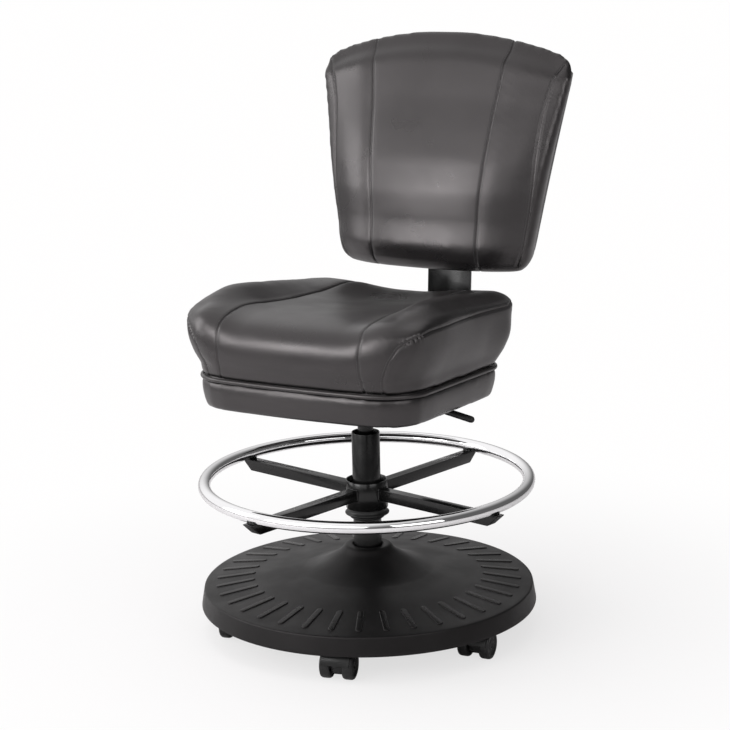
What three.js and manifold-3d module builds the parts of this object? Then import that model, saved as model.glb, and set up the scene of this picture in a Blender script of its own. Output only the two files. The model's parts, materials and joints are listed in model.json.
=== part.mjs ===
// Casino chair on a weighted round base with six twin-wheel casters, a gas lift and a foot ring.
// Millimetres, +Z up, the sitter faces -Y. The model is set so that its bounding box stands centred on the floor.
import * as THREE from 'three';
import Module from 'manifold-3d';
import { mergeVertices } from 'three/addons/utils/BufferGeometryUtils.js';

const wasm = await Module();
wasm.setup();

// Clearances shared by every fit
const fitGap = 0.3;
const cutOverrun = 5;

// Base cover: a moulded dish with radial tread ribs and a trumpet rising to the column
const baseRadius = 300;
const coverRimInset = 5.2;
const coverRimRadius = baseRadius - coverRimInset;
const coverEdgeRadius = 2.2;
const coverFloorGap = 48;
const coverRimHeight = 78.7;
const coverWall = 3;
const treadOuterInset = 26;
const treadOuterRadius = baseRadius - treadOuterInset;
const treadOuterRise = 5.3;
const treadOuterHeight = coverRimHeight + treadOuterRise;
const treadWidth = 70;
const treadInnerRadius = treadOuterRadius - treadWidth;
const treadRise = 10;
const treadInnerHeight = treadOuterHeight + treadRise;
const trumpetFootInset = 44;
const trumpetFootRadius = treadInnerRadius - trumpetFootInset;
const trumpetFootRise = 8;
const trumpetFootHeight = treadInnerHeight + trumpetFootRise;
const trumpetRise = 48;
const trumpetHeight = trumpetFootHeight + trumpetRise;
const trumpetSteps = 5;
const trumpetFlareShare = 2.35;
const trumpetCrowdShare = 0.7;
const ribCount = 36;
const ribWidth = 11;
const ribHeight = 1.6;
const ribEndSides = 2;
const coverSides = 72;
const coverInnerSides = 36;

// Base plate and column socket
const plateInset = 16.6;
const plateRadius = baseRadius - plateInset;
const plateThickness = 10;
const plateDrop = 1.3;
const plateTop = coverRimHeight - plateDrop;
const plateSides = 48;
const socketTop = trumpetHeight - coverWall - fitGap;
const socketFlangeRadius = 58;
const socketFlangeThickness = 8;
const socketDrop = 7;

// Column, gas spring and their bearings
const columnRadius = 25;
const columnWall = 2;
const socketWall = 6.7;
const socketRadius = columnRadius + fitGap + socketWall;
const trumpetMouthGap = 2.5;
const trumpetMouthRadius = columnRadius + trumpetMouthGap;
const trumpetClearance = 1;
const trumpetTopRadius = socketRadius + trumpetClearance + coverWall;
const columnTop = 357;
const seatRise = 111;
const seatPlane = columnTop + seatRise;
const columnTaper = 0.8;
const columnBottom = 62;
const columnFloor = 4;
const bushFlangeDrop = 6;
const bushLength = 60;
const cylinderRadius = 14;
const cylinderWall = 2.7;
const cylinderBoreRadius = cylinderRadius - cylinderWall;
const cylinderInsert = 157;
const cylinderBottom = columnTop - cylinderInsert;
const cylinderDrop = 38;
const cylinderTop = seatPlane - cylinderDrop;
const cylinderCrown = 30;
const cylinderTaper = 0.6;
const rodRadius = 5;
const rodDrop = 100;
const rodTop = cylinderTop - rodDrop;
const pistonLength = 12;
const rodCollarRadius = 8;
const rodCollarThickness = 4;
const bearingRadius = 14;
const bearingThickness = 6;
const clipRadius = 11;
const clipThickness = 2.5;
const clipMouth = 8;
const rodTail = 5;
const buttonRadius = 3;
const buttonHeight = 6.8;
const buttonTail = 22;
const roundSides = 32;
const smallSides = 12;

// Foot ring
const ringRadius = 288;
const ringTubeRadius = 11;
const ringHeight = 269.5;
const ringSides = 72;
const ringTubeSides = 10;
const hubRadius = 37.5;
const hubWall = 2.5;
const hubRise = 0.5;
const hubTop = ringHeight + hubRise;
const hubLength = 51;
const hubBottom = hubTop - hubLength;
const collarFlange = 2;
const collarRadius = hubRadius + collarFlange;
const collarHeight = 9;
const collarTaperHeight = 9;
const collarTaper = 9.5;
const collarTipRadius = collarRadius - collarTaper;
const collarSleeveHeight = 26;
const collarSplit = 3;
const spokeWidth = 20;
const spokeHeight = 20;
const spokeWall = 2;
const spokeOverhang = 3;
const spokeReach = ringRadius + ringTubeRadius + spokeOverhang;
const spokeSetback = 22;
const spokeAngle = -13;
const spokeCount = 4;

// Casters
const casterInset = 47;
const casterCircle = baseRadius - casterInset;
const casterCount = 6;
const casterFirstAngle = 18.1;
const casterTrailAngles = [12, 4, 150, 40, 200, 191];
const casterTrail = 18;
const wheelRadius = 25;
const wheelWidth = 18;
const wheelSides = 18;
const wheelEdge = 2.5;
const wheelDishRadius = 16;
const wheelDishDepth = 2.5;
const axleRadius = 4;
const axleClearance = 0.15;
const hoodWebWidth = 19;
const webClearance = 1;
const wheelTrack = wheelWidth + hoodWebWidth + 2 * webClearance;
const hoodGap = 1.4;
const wellGap = 0.7;
const hoodWall = 2.4;
const hoodWidth = 50;
const hoodWebRadius = 17;
const hoodBossRadius = 11;
const stemRadius = 5.2;
const stemEngagement = 9;
const hoodArcStart = 18;
const hoodArcEnd = 168;
const hoodArcSteps = 6;

// Seat: outline at the welt, stack of parts below the cushion, and the tilt of the whole seat
const seatTilt = 3;
const seatHalfWidth = 212;
const seatRearHalfWidth = 209;
const seatFront = 257;
const seatRear = 152;
const seatFrontRadius = 75;
const seatRearRadius = 66;
const seatFrontBow = 14;
const seatRearBow = 6;
const boardThickness = 12;
const weltRadius = 3.2;
const weltSides = 8;
const skirtTopDrop = 0.4;
const skirtHeight = 50;
const skirtTuck = 8;
const skirtBulge = 3;
const skirtWall = 14;
const cushionInset = 4;
const cushionHeight = 124;
const cushionCornerDrop = 9;
const cushionDish = 8;
const bolsterRise = 26;
const bolsterEdgeShare = 0.35;
const cushionSideInset = 2;
const cushionTopHalfWidth = seatHalfWidth - cushionSideInset;
const cushionRearTaper = 2;
const cushionTopRearHalfWidth = seatRearHalfWidth - cushionRearTaper;
const cushionNoseInset = 40;
const cushionTopFront = seatFront - cushionNoseInset;
const cushionRearOverhang = 48;
const cushionTopRear = seatRear + cushionRearOverhang;
const cushionNoseRadius = 20;
const cushionTopRadius = 40;
const noseBulge = 38;
const sideBulge = 20;
const rearBulge = 4;
const grooveDepth = 2.5;
const noseSpreadShare = 0.7;
const undersideThickness = 2;
const undersideDrop = 41;
const leverSlotWidth = 26;
const leverSlotReach = 175;

// Mechanism under the seat
const mechanismLength = 200;
const mechanismWidth = 176;
const mechanismSheet = 3;
const channelLength = 120;
const channelWidth = 64;
const channelDepth = 52;
const openingEndRoom = 15;
const openingSideRoom = 10;
const undersideOpeningLength = channelLength + 2 * openingEndRoom;
const undersideOpeningWidth = channelWidth + 2 * openingSideRoom;
const taperSocketWall = 6.7;
const taperSocketRadius = cylinderRadius + fitGap + taperSocketWall;
const taperSocketLength = 50;
const taperSocketBottom = cylinderTop - taperSocketLength;
const boltSideMargin = 13;
const boltSpacingX = mechanismWidth - 2 * boltSideMargin;
const boltEndMargin = 15;
const boltSpacingY = mechanismLength - 2 * boltEndMargin;
const boltRadius = 4;
const boltHeadRadius = 7.5;
const boltHeadHeight = 5.3;
const boltEngagement = 9;
const leverStart = -8;
const leverDrop = 26;
const leverHeight = seatPlane - leverDrop;
const leverDroopShare = 0.2;
const leverRadius = 4;
const leverPivotX = 38;
const leverPivotRadius = 3;
const leverHubRadius = 7;
const leverHubWidth = 20;
const leverReach = 196;
const gripStart = 128;
const gripReach = 213.6;
const gripRadius = 6;

// Back bar and backrest
const barWidth = 88;
const barThickness = 8;
const barStart = 40;
const barBendRadius = 44;
const barSetback = 184;
const barPlaneY = seatRear + barSetback;
const barPlaneRise = 98;
const barPlaneHeight = seatPlane + barPlaneRise;
const backRise = 132;
const backBottom = seatPlane + backRise;
const barLap = 196;
const barTop = backBottom + barLap;
const barLean = 4;
const barBendSteps = 7;
const barBoltSpacing = 50;
const barBoltOffset = 38;
const backLength = 436;
const backBottomHalfWidth = 193;
const backTopHalfWidth = 259;
const backBottomRadius = 24;
const backTopRadius = 40;
const backTopBow = 50;
const backBottomBow = 3;
const backEdgeInset = 17;
const backRearInset = 20;
const backSideBulge = 18;
const backTopBulge = 17;
const backBottomBulge = 20;
const backBoardThickness = 12;
const backLumbarThickness = 109.5;
const backShoulderThickness = 62;
const backCrestThickness = 42;
const backEdgeDrop = 28;
const backCrown = 5;
const backBoardInset = 26;
const backCoverInset = 22;
const backCoverBevel = 16;
const backCoverDepth = 26;
const backCoverWall = 3;

const degree = Math.PI / 180;

const paint = (colour, roughness, metalness) =>
  new THREE.MeshStandardMaterial({ color: colour, roughness, metalness });
const leather = paint(0x2b2a2b, 0.42, 0);
const baseBlack = paint(0x232323, 0.6, 0);
const paintedSteel = paint(0x161616, 0.3, 0.5);
const chrome = paint(0xd8d8da, 0.08, 1);
const steel = paint(0x9a9a9c, 0.35, 1);
const castSteel = paint(0x3a3a3c, 0.6, 0.8);
const nylon = paint(0x1a1a1b, 0.5, 0);
const plywood = paint(0xb08b5c, 0.75, 0);

const chair = new THREE.Group();
const place = (name, geometry, material, parent = chair) => {
  const mesh = new THREE.Mesh(geometry, material);
  mesh.name = name;
  parent.add(mesh);
  return mesh;
};

// Welds shared corners, drops the slivers that this leaves and turns every face outwards
function closed(geometry) {
  const bare = geometry.clone();
  bare.deleteAttribute('normal');
  bare.deleteAttribute('uv');
  const welded = mergeVertices(bare, 1e-4);
  const index = welded.getIndex().array;
  const position = welded.getAttribute('position');
  const corners = [0, 1, 2].map(() => new THREE.Vector3());
  const kept = [];
  let volume = 0;
  for (let i = 0; i < index.length; i += 3) {
    const [a, b, c] = [index[i], index[i + 1], index[i + 2]];
    if (a === b || b === c || c === a) continue;
    kept.push(a, b, c);
    [a, b, c].forEach((vertex, k) => corners[k].fromBufferAttribute(position, vertex));
    volume += corners[0].dot(corners[1].clone().cross(corners[2]));
  }
  if (volume < 0) {
    for (let i = 0; i < kept.length; i += 3) [kept[i], kept[i + 1]] = [kept[i + 1], kept[i]];
  }
  welded.setIndex(kept);
  return welded;
}

function solidOf(geometry) {
  const ready = closed(geometry);
  const vertProperties = new Float32Array(ready.getAttribute('position').array);
  const triVerts = new Uint32Array(ready.getIndex().array);
  return new wasm.Manifold(new wasm.Mesh({ numProp: 3, vertProperties, triVerts }));
}

function geometryOf(solid) {
  const mesh = solid.getMesh();
  const geometry = new THREE.BufferGeometry();
  geometry.setAttribute('position', new THREE.BufferAttribute(new Float32Array(mesh.vertProperties), 3));
  geometry.setIndex([...mesh.triVerts]);
  return geometry;
}

const join = (geometry, ...others) =>
  geometryOf(others.reduce((solid, other) => solid.add(solidOf(other)), solidOf(geometry)));
const cut = (geometry, ...tools) =>
  geometryOf(tools.reduce((solid, tool) => solid.subtract(solidOf(tool)), solidOf(geometry)));
const common = (geometry, other) => geometryOf(solidOf(geometry).intersect(solidOf(other)));

// A profile of [radius, height] points turned about the Z axis; it closes on itself unless it ends on the axis
function turned(profile, sides = roundSides, start = 0) {
  const points = profile.map(([radius, height]) => new THREE.Vector2(radius, height));
  const onAxis = profile[0][0] === 0 && profile.at(-1)[0] === 0;
  if (!onAxis) points.push(points[0].clone());
  return closed(new THREE.LatheGeometry(points, sides, start).rotateX(Math.PI / 2));
}

const tube = (outer, inner, bottom, top, sides = roundSides) =>
  turned([[inner, bottom], [outer, bottom], [outer, top], [inner, top]], sides);

const rod = (radius, bottom, top, sides = roundSides) =>
  turned([[0, bottom], [radius, bottom], [radius, top], [0, top]], sides);

function box(low, high) {
  const size = high.map((value, i) => value - low[i]);
  const centre = high.map((value, i) => (value + low[i]) / 2);
  return new THREE.BoxGeometry(...size).translate(...centre);
}

// An outline of [x, y] points raised from one height to another
function raised(outline, bottom, top, holes = []) {
  const shape = new THREE.Shape(outline.map(([x, y]) => new THREE.Vector2(x, y)));
  shape.holes = holes.map((hole) => new THREE.Path(hole.map(([x, y]) => new THREE.Vector2(x, y))));
  return new THREE.ExtrudeGeometry(shape, { depth: top - bottom, bevelEnabled: false }).translate(0, 0, bottom);
}

// Joins a list of loops with the same number of corners; the last loop meets the first or gets flat ends
function lofted(loops, endsMeet) {
  const corners = loops[0].length;
  const positions = loops.flat().flatMap((corner) => [corner.x, corner.y, corner.z]);
  const index = [];
  const bands = endsMeet ? loops.length : loops.length - 1;
  for (let k = 0; k < bands; k += 1) {
    const here = k * corners;
    const there = ((k + 1) % loops.length) * corners;
    for (let j = 0; j < corners; j += 1) {
      const next = (j + 1) % corners;
      index.push(here + j, here + next, there + next, here + j, there + next, there + j);
    }
  }
  const geometry = new THREE.BufferGeometry();
  geometry.setAttribute('position', new THREE.Float32BufferAttribute(positions, 3));
  geometry.setIndex(index);
  return endsMeet ? closed(geometry) : geometry;
}

const mix = THREE.MathUtils.lerp;
const clamp = THREE.MathUtils.clamp;

// A rounded four-sided panel: across runs from -1 to 1, along from 0 at its front to 1 at its rear
function panelPoint(panel, across, along, inset = 0) {
  const front = panel.front + inset;
  const rear = panel.rear - inset;
  const straight = rear - front - panel.rearBow;
  let half = mix(panel.frontHalf, panel.rearHalf, along) - inset;
  const corners = [[along * straight, panel.frontRadius], [(1 - along) * straight, panel.rearRadius]];
  for (const [distance, fullRadius] of corners) {
    const radius = Math.max(fullRadius - inset, fullRadius / 4);
    if (distance < radius) half -= radius - Math.sqrt(radius ** 2 - (radius - distance) ** 2);
  }
  const x = across * half;
  const spread = (x / mix(panel.frontHalf, panel.rearHalf, along)) ** 2;
  const bow = panel.frontBow * (1 - along) ** 2 * spread - panel.rearBow * along ** 2 * spread;
  return [x, mix(front, rear, along) + bow];
}

const acrossShares = [-1, -0.8, -0.6, -0.4, -0.2, 0, 0.2, 0.4, 0.6, 0.8, 1];
const alongShares = [0, 0.012, 0.045, 0.09, 0.14, 0.25, 0.4, 0.55, 0.7, 0.82, 0.89, 0.94, 0.98, 1];

// Walks once round a grid of shares, anticlockwise from the front left corner
function edgeWalk(columns, rows) {
  const last = [columns.length - 1, rows.length - 1];
  const walk = [];
  for (let i = 0; i < last[0]; i += 1) walk.push([i, 0]);
  for (let j = 0; j < last[1]; j += 1) walk.push([last[0], j]);
  for (let i = last[0]; i > 0; i -= 1) walk.push([i, last[1]]);
  for (let j = last[1]; j > 0; j -= 1) walk.push([0, j]);
  return walk;
}

const panelOutline = (panel, inset = 0) =>
  edgeWalk(acrossShares, alongShares).map(([i, j]) => panelPoint(panel, acrossShares[i], alongShares[j], inset));

// A stuffed pad: a gridded top, sides that swell out and draw in again, and a flat underside
function pad({ columns, rows, top, foot, footHeight, rings, bulge }) {
  const grid = rows.map((along) => columns.map((column) => top(column, along)));
  const walk = edgeWalk(columns, rows);
  const rim = walk.map(([i, j]) => grid[j][i]);
  const outward = rim.map((corner, k) => {
    const before = rim[(k + rim.length - 1) % rim.length];
    const after = rim[(k + 1) % rim.length];
    return new THREE.Vector2(after.y - before.y, before.x - after.x).normalize();
  });
  const feet = walk.map(([i, j]) => foot(columns[i], rows[j]));
  const loops = rings.map(({ acrossShare, bulgeShare, heightShare }) =>
    rim.map((corner, k) => new THREE.Vector3(
      mix(corner.x, feet[k][0], acrossShare) + outward[k].x * bulge(outward[k]) * bulgeShare,
      mix(corner.y, feet[k][1], acrossShare) + outward[k].y * bulge(outward[k]) * bulgeShare,
      mix(footHeight, corner.z, heightShare),
    )));
  const sides = lofted([rim, ...loops], false);
  const positions = [...sides.getAttribute('position').array];
  const index = [...sides.getIndex().array];
  const gridStart = positions.length / 3;
  grid.flat().forEach((corner) => positions.push(corner.x, corner.y, corner.z));
  for (let j = 0; j + 1 < rows.length; j += 1) {
    for (let i = 0; i + 1 < columns.length; i += 1) {
      const a = gridStart + j * columns.length + i;
      const b = a + columns.length;
      index.push(a, b + 1, a + 1, a, b, b + 1);
    }
  }
  const lastLoop = loops.at(-1);
  const floorStart = loops.length * rim.length;
  const floor = THREE.ShapeUtils.triangulateShape(lastLoop.map((corner) => new THREE.Vector2(corner.x, corner.y)), []);
  floor.forEach(([a, b, c]) => index.push(floorStart + a, floorStart + b, floorStart + c));
  const geometry = new THREE.BufferGeometry();
  geometry.setAttribute('position', new THREE.Float32BufferAttribute(positions, 3));
  geometry.setIndex(index);
  return closed(geometry);
}

// Columns of a sewn pad: -1 and 1 are its two long seams, -2 and 2 its edges
const sewnColumns = [-2, -1.94, -1.82, -1.6, -1.3, -1.07, -1, -0.93, -0.6, -0.25,
  0.25, 0.6, 0.93, 1, 1.07, 1.3, 1.6, 1.82, 1.94, 2];
const sewnRows = [0, 0.02, 0.06, 0.12, 0.2, 0.32, 0.46, 0.6, 0.74, 0.86, 0.94, 0.98, 1];

function sewnAcross(column, seamShare) {
  const side = Math.sign(column);
  const reach = Math.abs(column);
  return reach <= 1 ? column * seamShare : side * (seamShare + (reach - 1) * (1 - seamShare));
}

// Base
const coverOuterProfile = [
  [coverRimRadius, coverRimHeight],
  [coverRimRadius - coverEdgeRadius, coverRimHeight + coverEdgeRadius],
  [treadOuterRadius, treadOuterHeight],
  [treadInnerRadius, treadInnerHeight],
  [trumpetFootRadius, trumpetFootHeight],
];
for (let k = 1; k <= trumpetSteps; k += 1) {
  const closingShare = (k / trumpetSteps) ** trumpetCrowdShare;
  coverOuterProfile.push([
    mix(trumpetFootRadius, trumpetTopRadius, closingShare),
    mix(trumpetFootHeight, trumpetHeight, closingShare ** trumpetFlareShare),
  ]);
}
const coverProfile = [
  [baseRadius, coverFloorGap],
  ...coverOuterProfile,
  [0, trumpetHeight],
  [0, coverFloorGap],
];
const coverCavityProfile = [
  [0, coverFloorGap - cutOverrun],
  [baseRadius - coverWall, coverFloorGap - cutOverrun],
  [baseRadius - coverWall, coverFloorGap],
  ...coverOuterProfile.filter((corner, k) => k !== 1)
    .map(([radius, height]) => [Math.max(radius - coverWall, trumpetTopRadius - coverWall), height - coverWall]),
  [0, trumpetHeight - coverWall],
];

function stadium(start, end, width, sides) {
  const points = [];
  for (const [centre, turn] of [[end, -90], [start, 90]]) {
    for (let k = 0; k <= sides; k += 1) {
      const angle = (turn + (180 * k) / sides) * degree;
      points.push([centre + (width / 2) * Math.cos(angle), (width / 2) * Math.sin(angle)]);
    }
  }
  return points;
}

function baseCover() {
  const closedProfile = [[0, coverFloorGap], ...coverProfile.slice(0, -2), [0, trumpetHeight]];
  const body = solidOf(turned(closedProfile, coverSides, Math.PI / coverSides));
  const slope = Math.atan2(treadInnerHeight - treadOuterHeight, treadOuterRadius - treadInnerRadius);
  const slopeLength = Math.hypot(treadInnerHeight - treadOuterHeight, treadOuterRadius - treadInnerRadius);
  const ribOutline = stadium(ribWidth / 2, slopeLength - ribWidth / 2, ribWidth, ribEndSides);
  let ribbed = body;
  for (let k = 0; k < ribCount; k += 1) {
    const rib = raised(ribOutline, -coverWall / 2, ribHeight)
      .rotateY(slope)
      .translate(treadInnerRadius, 0, treadInnerHeight)
      .rotateZ(((k + 0.5) * 360 * degree) / ribCount);
    ribbed = ribbed.add(solidOf(rib));
  }
  const hollow = turned(coverCavityProfile, coverInnerSides, Math.PI / coverInnerSides);
  const mouth = rod(trumpetMouthRadius, trumpetHeight - coverWall - cutOverrun, trumpetHeight + cutOverrun);
  return geometryOf(ribbed.subtract(solidOf(hollow)).subtract(solidOf(mouth)));
}
place('base_cover', baseCover(), baseBlack);

const onCircle = (radius, angle) => [radius * Math.sin(angle * degree), -radius * Math.cos(angle * degree)];
const plateBottom = plateTop - plateThickness;
const casterAngles = Array.from({ length: casterCount }, (_, k) => casterFirstAngle + (360 * k) / casterCount);
const stemHoles = casterAngles.map((angle) =>
  rod(stemRadius + fitGap, plateBottom - cutOverrun, plateTop + cutOverrun, smallSides)
    .translate(...onCircle(casterCircle, angle), 0));
const platePierced = cut(rod(plateRadius, plateBottom, plateTop, plateSides),
  rod(socketRadius + fitGap, plateBottom - cutOverrun, plateTop + cutOverrun), ...stemHoles);
place('base_plate', platePierced, castSteel);

const flangeBottom = plateTop + fitGap;
place('column_socket', turned([
  [columnRadius - columnTaper + fitGap, plateBottom - socketDrop],
  [socketRadius, plateBottom - socketDrop],
  [socketRadius, flangeBottom],
  [socketFlangeRadius, flangeBottom],
  [socketFlangeRadius, flangeBottom + socketFlangeThickness],
  [socketRadius, flangeBottom + socketFlangeThickness],
  [socketRadius, socketTop],
  [columnRadius + fitGap, socketTop],
]), castSteel);

// Column and gas lift
const columnFloorTop = columnBottom + columnFloor;
place('column_tube', turned([
  [rodRadius + fitGap, columnBottom],
  [columnRadius - columnTaper, columnBottom],
  [columnRadius, socketTop],
  [columnRadius, columnTop],
  [columnRadius - columnWall, columnTop],
  [columnRadius - columnWall, columnFloorTop],
  [rodRadius + fitGap, columnFloorTop],
]), paintedSteel);
const bushTop = columnTop - bushFlangeDrop;
place('column_guide_bush',
  tube(columnRadius - columnWall - fitGap, cylinderRadius + fitGap, bushTop - bushLength, bushTop), nylon);

const bearingBottom = columnFloorTop + fitGap;
const bearingTop = bearingBottom + bearingThickness;
place('thrust_bearing', tube(bearingRadius, rodRadius + fitGap, bearingBottom, bearingTop), steel);
const clipTop = columnBottom - fitGap;
const clip = cut(tube(clipRadius, rodRadius + fitGap, clipTop - clipThickness, clipTop),
  box([-clipMouth / 2, -clipRadius - cutOverrun, clipTop - clipThickness - cutOverrun],
    [clipMouth / 2, 0, clipTop + cutOverrun]));
place('retaining_clip', clip, steel);
const collarBottom = bearingTop + fitGap;
const pistonRadius = cylinderBoreRadius - fitGap;
place('gas_spring_rod', turned([
  [0, clipTop - clipThickness - rodTail],
  [rodRadius, clipTop - clipThickness - rodTail],
  [rodRadius, collarBottom],
  [rodCollarRadius, collarBottom],
  [rodCollarRadius, collarBottom + rodCollarThickness],
  [rodRadius, collarBottom + rodCollarThickness],
  [rodRadius, rodTop - pistonLength],
  [pistonRadius, rodTop - pistonLength],
  [pistonRadius, rodTop],
  [0, rodTop],
]), chrome);
const buttonBore = buttonRadius + fitGap;
place('gas_cylinder', turned([
  [cylinderBoreRadius, cylinderBottom],
  [cylinderRadius, cylinderBottom],
  [cylinderRadius, taperSocketBottom],
  [cylinderRadius - cylinderTaper, cylinderTop],
  [buttonBore, cylinderTop],
  [buttonBore, cylinderTop - cylinderCrown],
  [cylinderBoreRadius, cylinderTop - cylinderCrown],
]), paintedSteel);
place('release_button', rod(buttonRadius, cylinderTop - buttonTail, cylinderTop + buttonHeight, smallSides), steel);

// Foot ring
place('footring_ring', closed(new THREE.TorusGeometry(ringRadius, ringTubeRadius, ringTubeSides, ringSides)
  .translate(0, 0, ringHeight)), chrome);
place('footring_hub', tube(hubRadius, hubRadius - hubWall, hubBottom, hubTop), paintedSteel);
const collarTop = hubBottom - fitGap;
const collarBase = collarTop - collarHeight;
const sleeveRadius = hubRadius - hubWall - fitGap;
const collarBore = columnRadius + fitGap;
const splitCollar = cut(turned([
  [collarBore, collarBase - collarTaperHeight],
  [collarTipRadius, collarBase - collarTaperHeight],
  [collarRadius, collarBase],
  [collarRadius, collarTop],
  [sleeveRadius, collarTop],
  [sleeveRadius, collarTop + collarSleeveHeight],
  [collarBore, collarTop + collarSleeveHeight],
]), box([-collarSplit / 2, 0, collarBase - collarTaperHeight - cutOverrun],
  [collarSplit / 2, collarRadius + cutOverrun, hubTop]));
place('footring_bush', splitCollar, nylon);

const spokeTop = ringHeight - ringTubeRadius - fitGap;
const spokeBottom = spokeTop - spokeHeight;
function spoke() {
  const outer = raised([
    [0, spokeBottom], [spokeReach - spokeSetback, spokeBottom], [spokeReach, spokeTop], [0, spokeTop],
  ], -spokeWidth / 2, spokeWidth / 2);
  const inner = raised([
    [0, spokeBottom + spokeWall], [spokeReach + cutOverrun, spokeBottom + spokeWall],
    [spokeReach + cutOverrun, spokeTop - spokeWall], [0, spokeTop - spokeWall],
  ], spokeWall - spokeWidth / 2, spokeWidth / 2 - spokeWall);
  const root = rod(hubRadius + fitGap, spokeBottom - cutOverrun, spokeTop + cutOverrun);
  return cut(cut(outer, inner).rotateX(Math.PI / 2), root);
}
const oneSpoke = spoke();
for (let k = 0; k < spokeCount; k += 1) {
  const mesh = place(`footring_spoke_${k + 1}`, oneSpoke, paintedSteel);
  mesh.rotation.z = (spokeAngle + (360 * k) / spokeCount - 90) * degree;
}

// Casters
const axleHeight = wheelRadius * Math.cos(Math.PI / wheelSides);
const axleBore = axleRadius + axleClearance;
const wheelInner = (wheelTrack - wheelWidth) / 2;
const wheelOuter = wheelInner + wheelWidth;
const wheelProfile = [
  [axleBore, wheelInner],
  [wheelRadius - wheelEdge, wheelInner],
  [wheelRadius, wheelInner + wheelEdge],
  [wheelRadius, wheelOuter - wheelEdge],
  [wheelRadius - wheelEdge, wheelOuter],
  [wheelDishRadius, wheelOuter],
  [axleBore, wheelOuter - wheelDishDepth],
];
// The axle lies along X; the flat of a facet faces the floor
const wheel = turned(wheelProfile, wheelSides).rotateY(Math.PI / 2);
const otherWheel = wheel.clone().rotateZ(Math.PI);
const axleHalf = wheelOuter - wheelDishDepth - fitGap;
const axle = rod(axleRadius, -axleHalf, axleHalf, smallSides).rotateY(Math.PI / 2);

const hoodTop = plateBottom - fitGap - axleHeight;
const hoodInnerRadius = wheelRadius + hoodGap;
const hoodOuterRadius = hoodInnerRadius + hoodWall;
const arc = (radius, from, to, steps) => Array.from({ length: steps + 1 }, (_, k) => {
  const angle = mix(from, to, k / steps) * degree;
  return [radius * Math.cos(angle), radius * Math.sin(angle)];
});
// Side view with the stem at +trail; raised along X afterwards
const acrossAxle = (outline, half) => raised(outline, -half, half).rotateX(Math.PI / 2).rotateZ(Math.PI / 2);
function casterHood() {
  const web = acrossAxle([
    ...arc(hoodWebRadius, -180, 0, hoodArcSteps),
    [casterTrail + hoodBossRadius, 0],
    [casterTrail + hoodBossRadius, hoodTop - hoodWall],
    [0, hoodTop - hoodWall * 2],
  ], hoodWebWidth / 2);
  const canopy = acrossAxle([
    ...arc(hoodOuterRadius, hoodArcStart, hoodArcEnd, hoodArcSteps),
    ...arc(hoodInnerRadius, hoodArcEnd, hoodArcStart, hoodArcSteps),
  ], hoodWidth / 2);
  const bridge = acrossAxle([
    ...arc(hoodOuterRadius - hoodWall / 2, hoodArcStart, hoodArcEnd, hoodArcSteps), [0, 0],
  ], hoodWebWidth / 2);
  const boss = rod(hoodBossRadius, 0, hoodTop, smallSides).translate(0, casterTrail, 0);
  const stem = rod(stemRadius, 0, hoodTop + stemEngagement, smallSides).translate(0, casterTrail, 0);
  const bore = rod(axleBore, -hoodWidth, hoodWidth, smallSides).rotateY(Math.PI / 2);
  const wheelWells = [-1, 1].map((side) => {
    const well = rod(wheelRadius + wellGap, hoodWebWidth / 2, hoodWidth, wheelSides).rotateY((side * Math.PI) / 2);
    return well;
  });
  return cut(join(web, canopy, bridge, boss, stem), bore, ...wheelWells);
}
const hood = casterHood();
casterAngles.forEach((angle, k) => {
  const [stemX, stemY] = onCircle(casterCircle, angle);
  const group = new THREE.Group();
  // The trail angle says where the axle lies from the stem, turned from the front
  group.rotation.z = casterTrailAngles[k] * degree;
  const [trailX, trailY] = onCircle(casterTrail, casterTrailAngles[k]);
  group.position.set(stemX + trailX, stemY + trailY, axleHeight);
  place(`caster_${k + 1}_hood`, hood, nylon, group);
  place(`caster_${k + 1}_axle`, axle, steel, group);
  place(`caster_${k + 1}_wheel_left`, otherWheel, nylon, group);
  place(`caster_${k + 1}_wheel_right`, wheel, nylon, group);
  chair.add(group);
});

// Seat, in a group whose zero height is the underside of the seat board
const seat = new THREE.Group();
seat.position.z = seatPlane;
seat.rotation.x = -seatTilt * degree;
chair.add(seat);
seat.updateMatrix();

const seatPanel = {
  front: -seatFront, rear: seatRear, frontHalf: seatHalfWidth, rearHalf: seatRearHalfWidth,
  frontRadius: seatFrontRadius, rearRadius: seatRearRadius, frontBow: seatFrontBow, rearBow: seatRearBow,
};
const boardBottom = fitGap;
const boardTop = boardBottom + boardThickness;
const cushionBottom = boardTop + fitGap;
const weltHeight = cushionBottom - fitGap - weltRadius;
const skirtTop = weltHeight - weltRadius - skirtTopDrop;
const skirtBottom = skirtTop - skirtHeight;
const boardInset = skirtWall + skirtTuck / 2 + fitGap;
const boltPlaces = [-1, 1].flatMap((sideX) => [-1, 1].map((sideY) =>
  [(sideX * boltSpacingX) / 2, (sideY * boltSpacingY) / 2]));
const barBoltPlaces = [-1, 1].map((side) => [(side * barBoltSpacing) / 2, barStart + barBoltOffset]);
const boltHoles = [...boltPlaces, ...barBoltPlaces].map(([x, y]) =>
  rod(boltRadius + fitGap, boardBottom - cutOverrun, boardBottom + boltEngagement + fitGap, smallSides)
    .translate(x, y, 0));
place('seat_board', cut(raised(panelOutline(seatPanel, boardInset), boardBottom, boardTop), ...boltHoles),
  plywood, seat);

const outlineAt = (panel, inset, height) =>
  panelOutline(panel, inset).map(([x, y]) => new THREE.Vector3(x, y, height));
const weltLoops = Array.from({ length: weltSides }, (_, k) => {
  const angle = (360 * k * degree) / weltSides;
  return outlineAt(seatPanel, weltRadius * Math.cos(angle), weltHeight + weltRadius * Math.sin(angle));
});
place('seat_welt', lofted(weltLoops, true), leather, seat);

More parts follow.
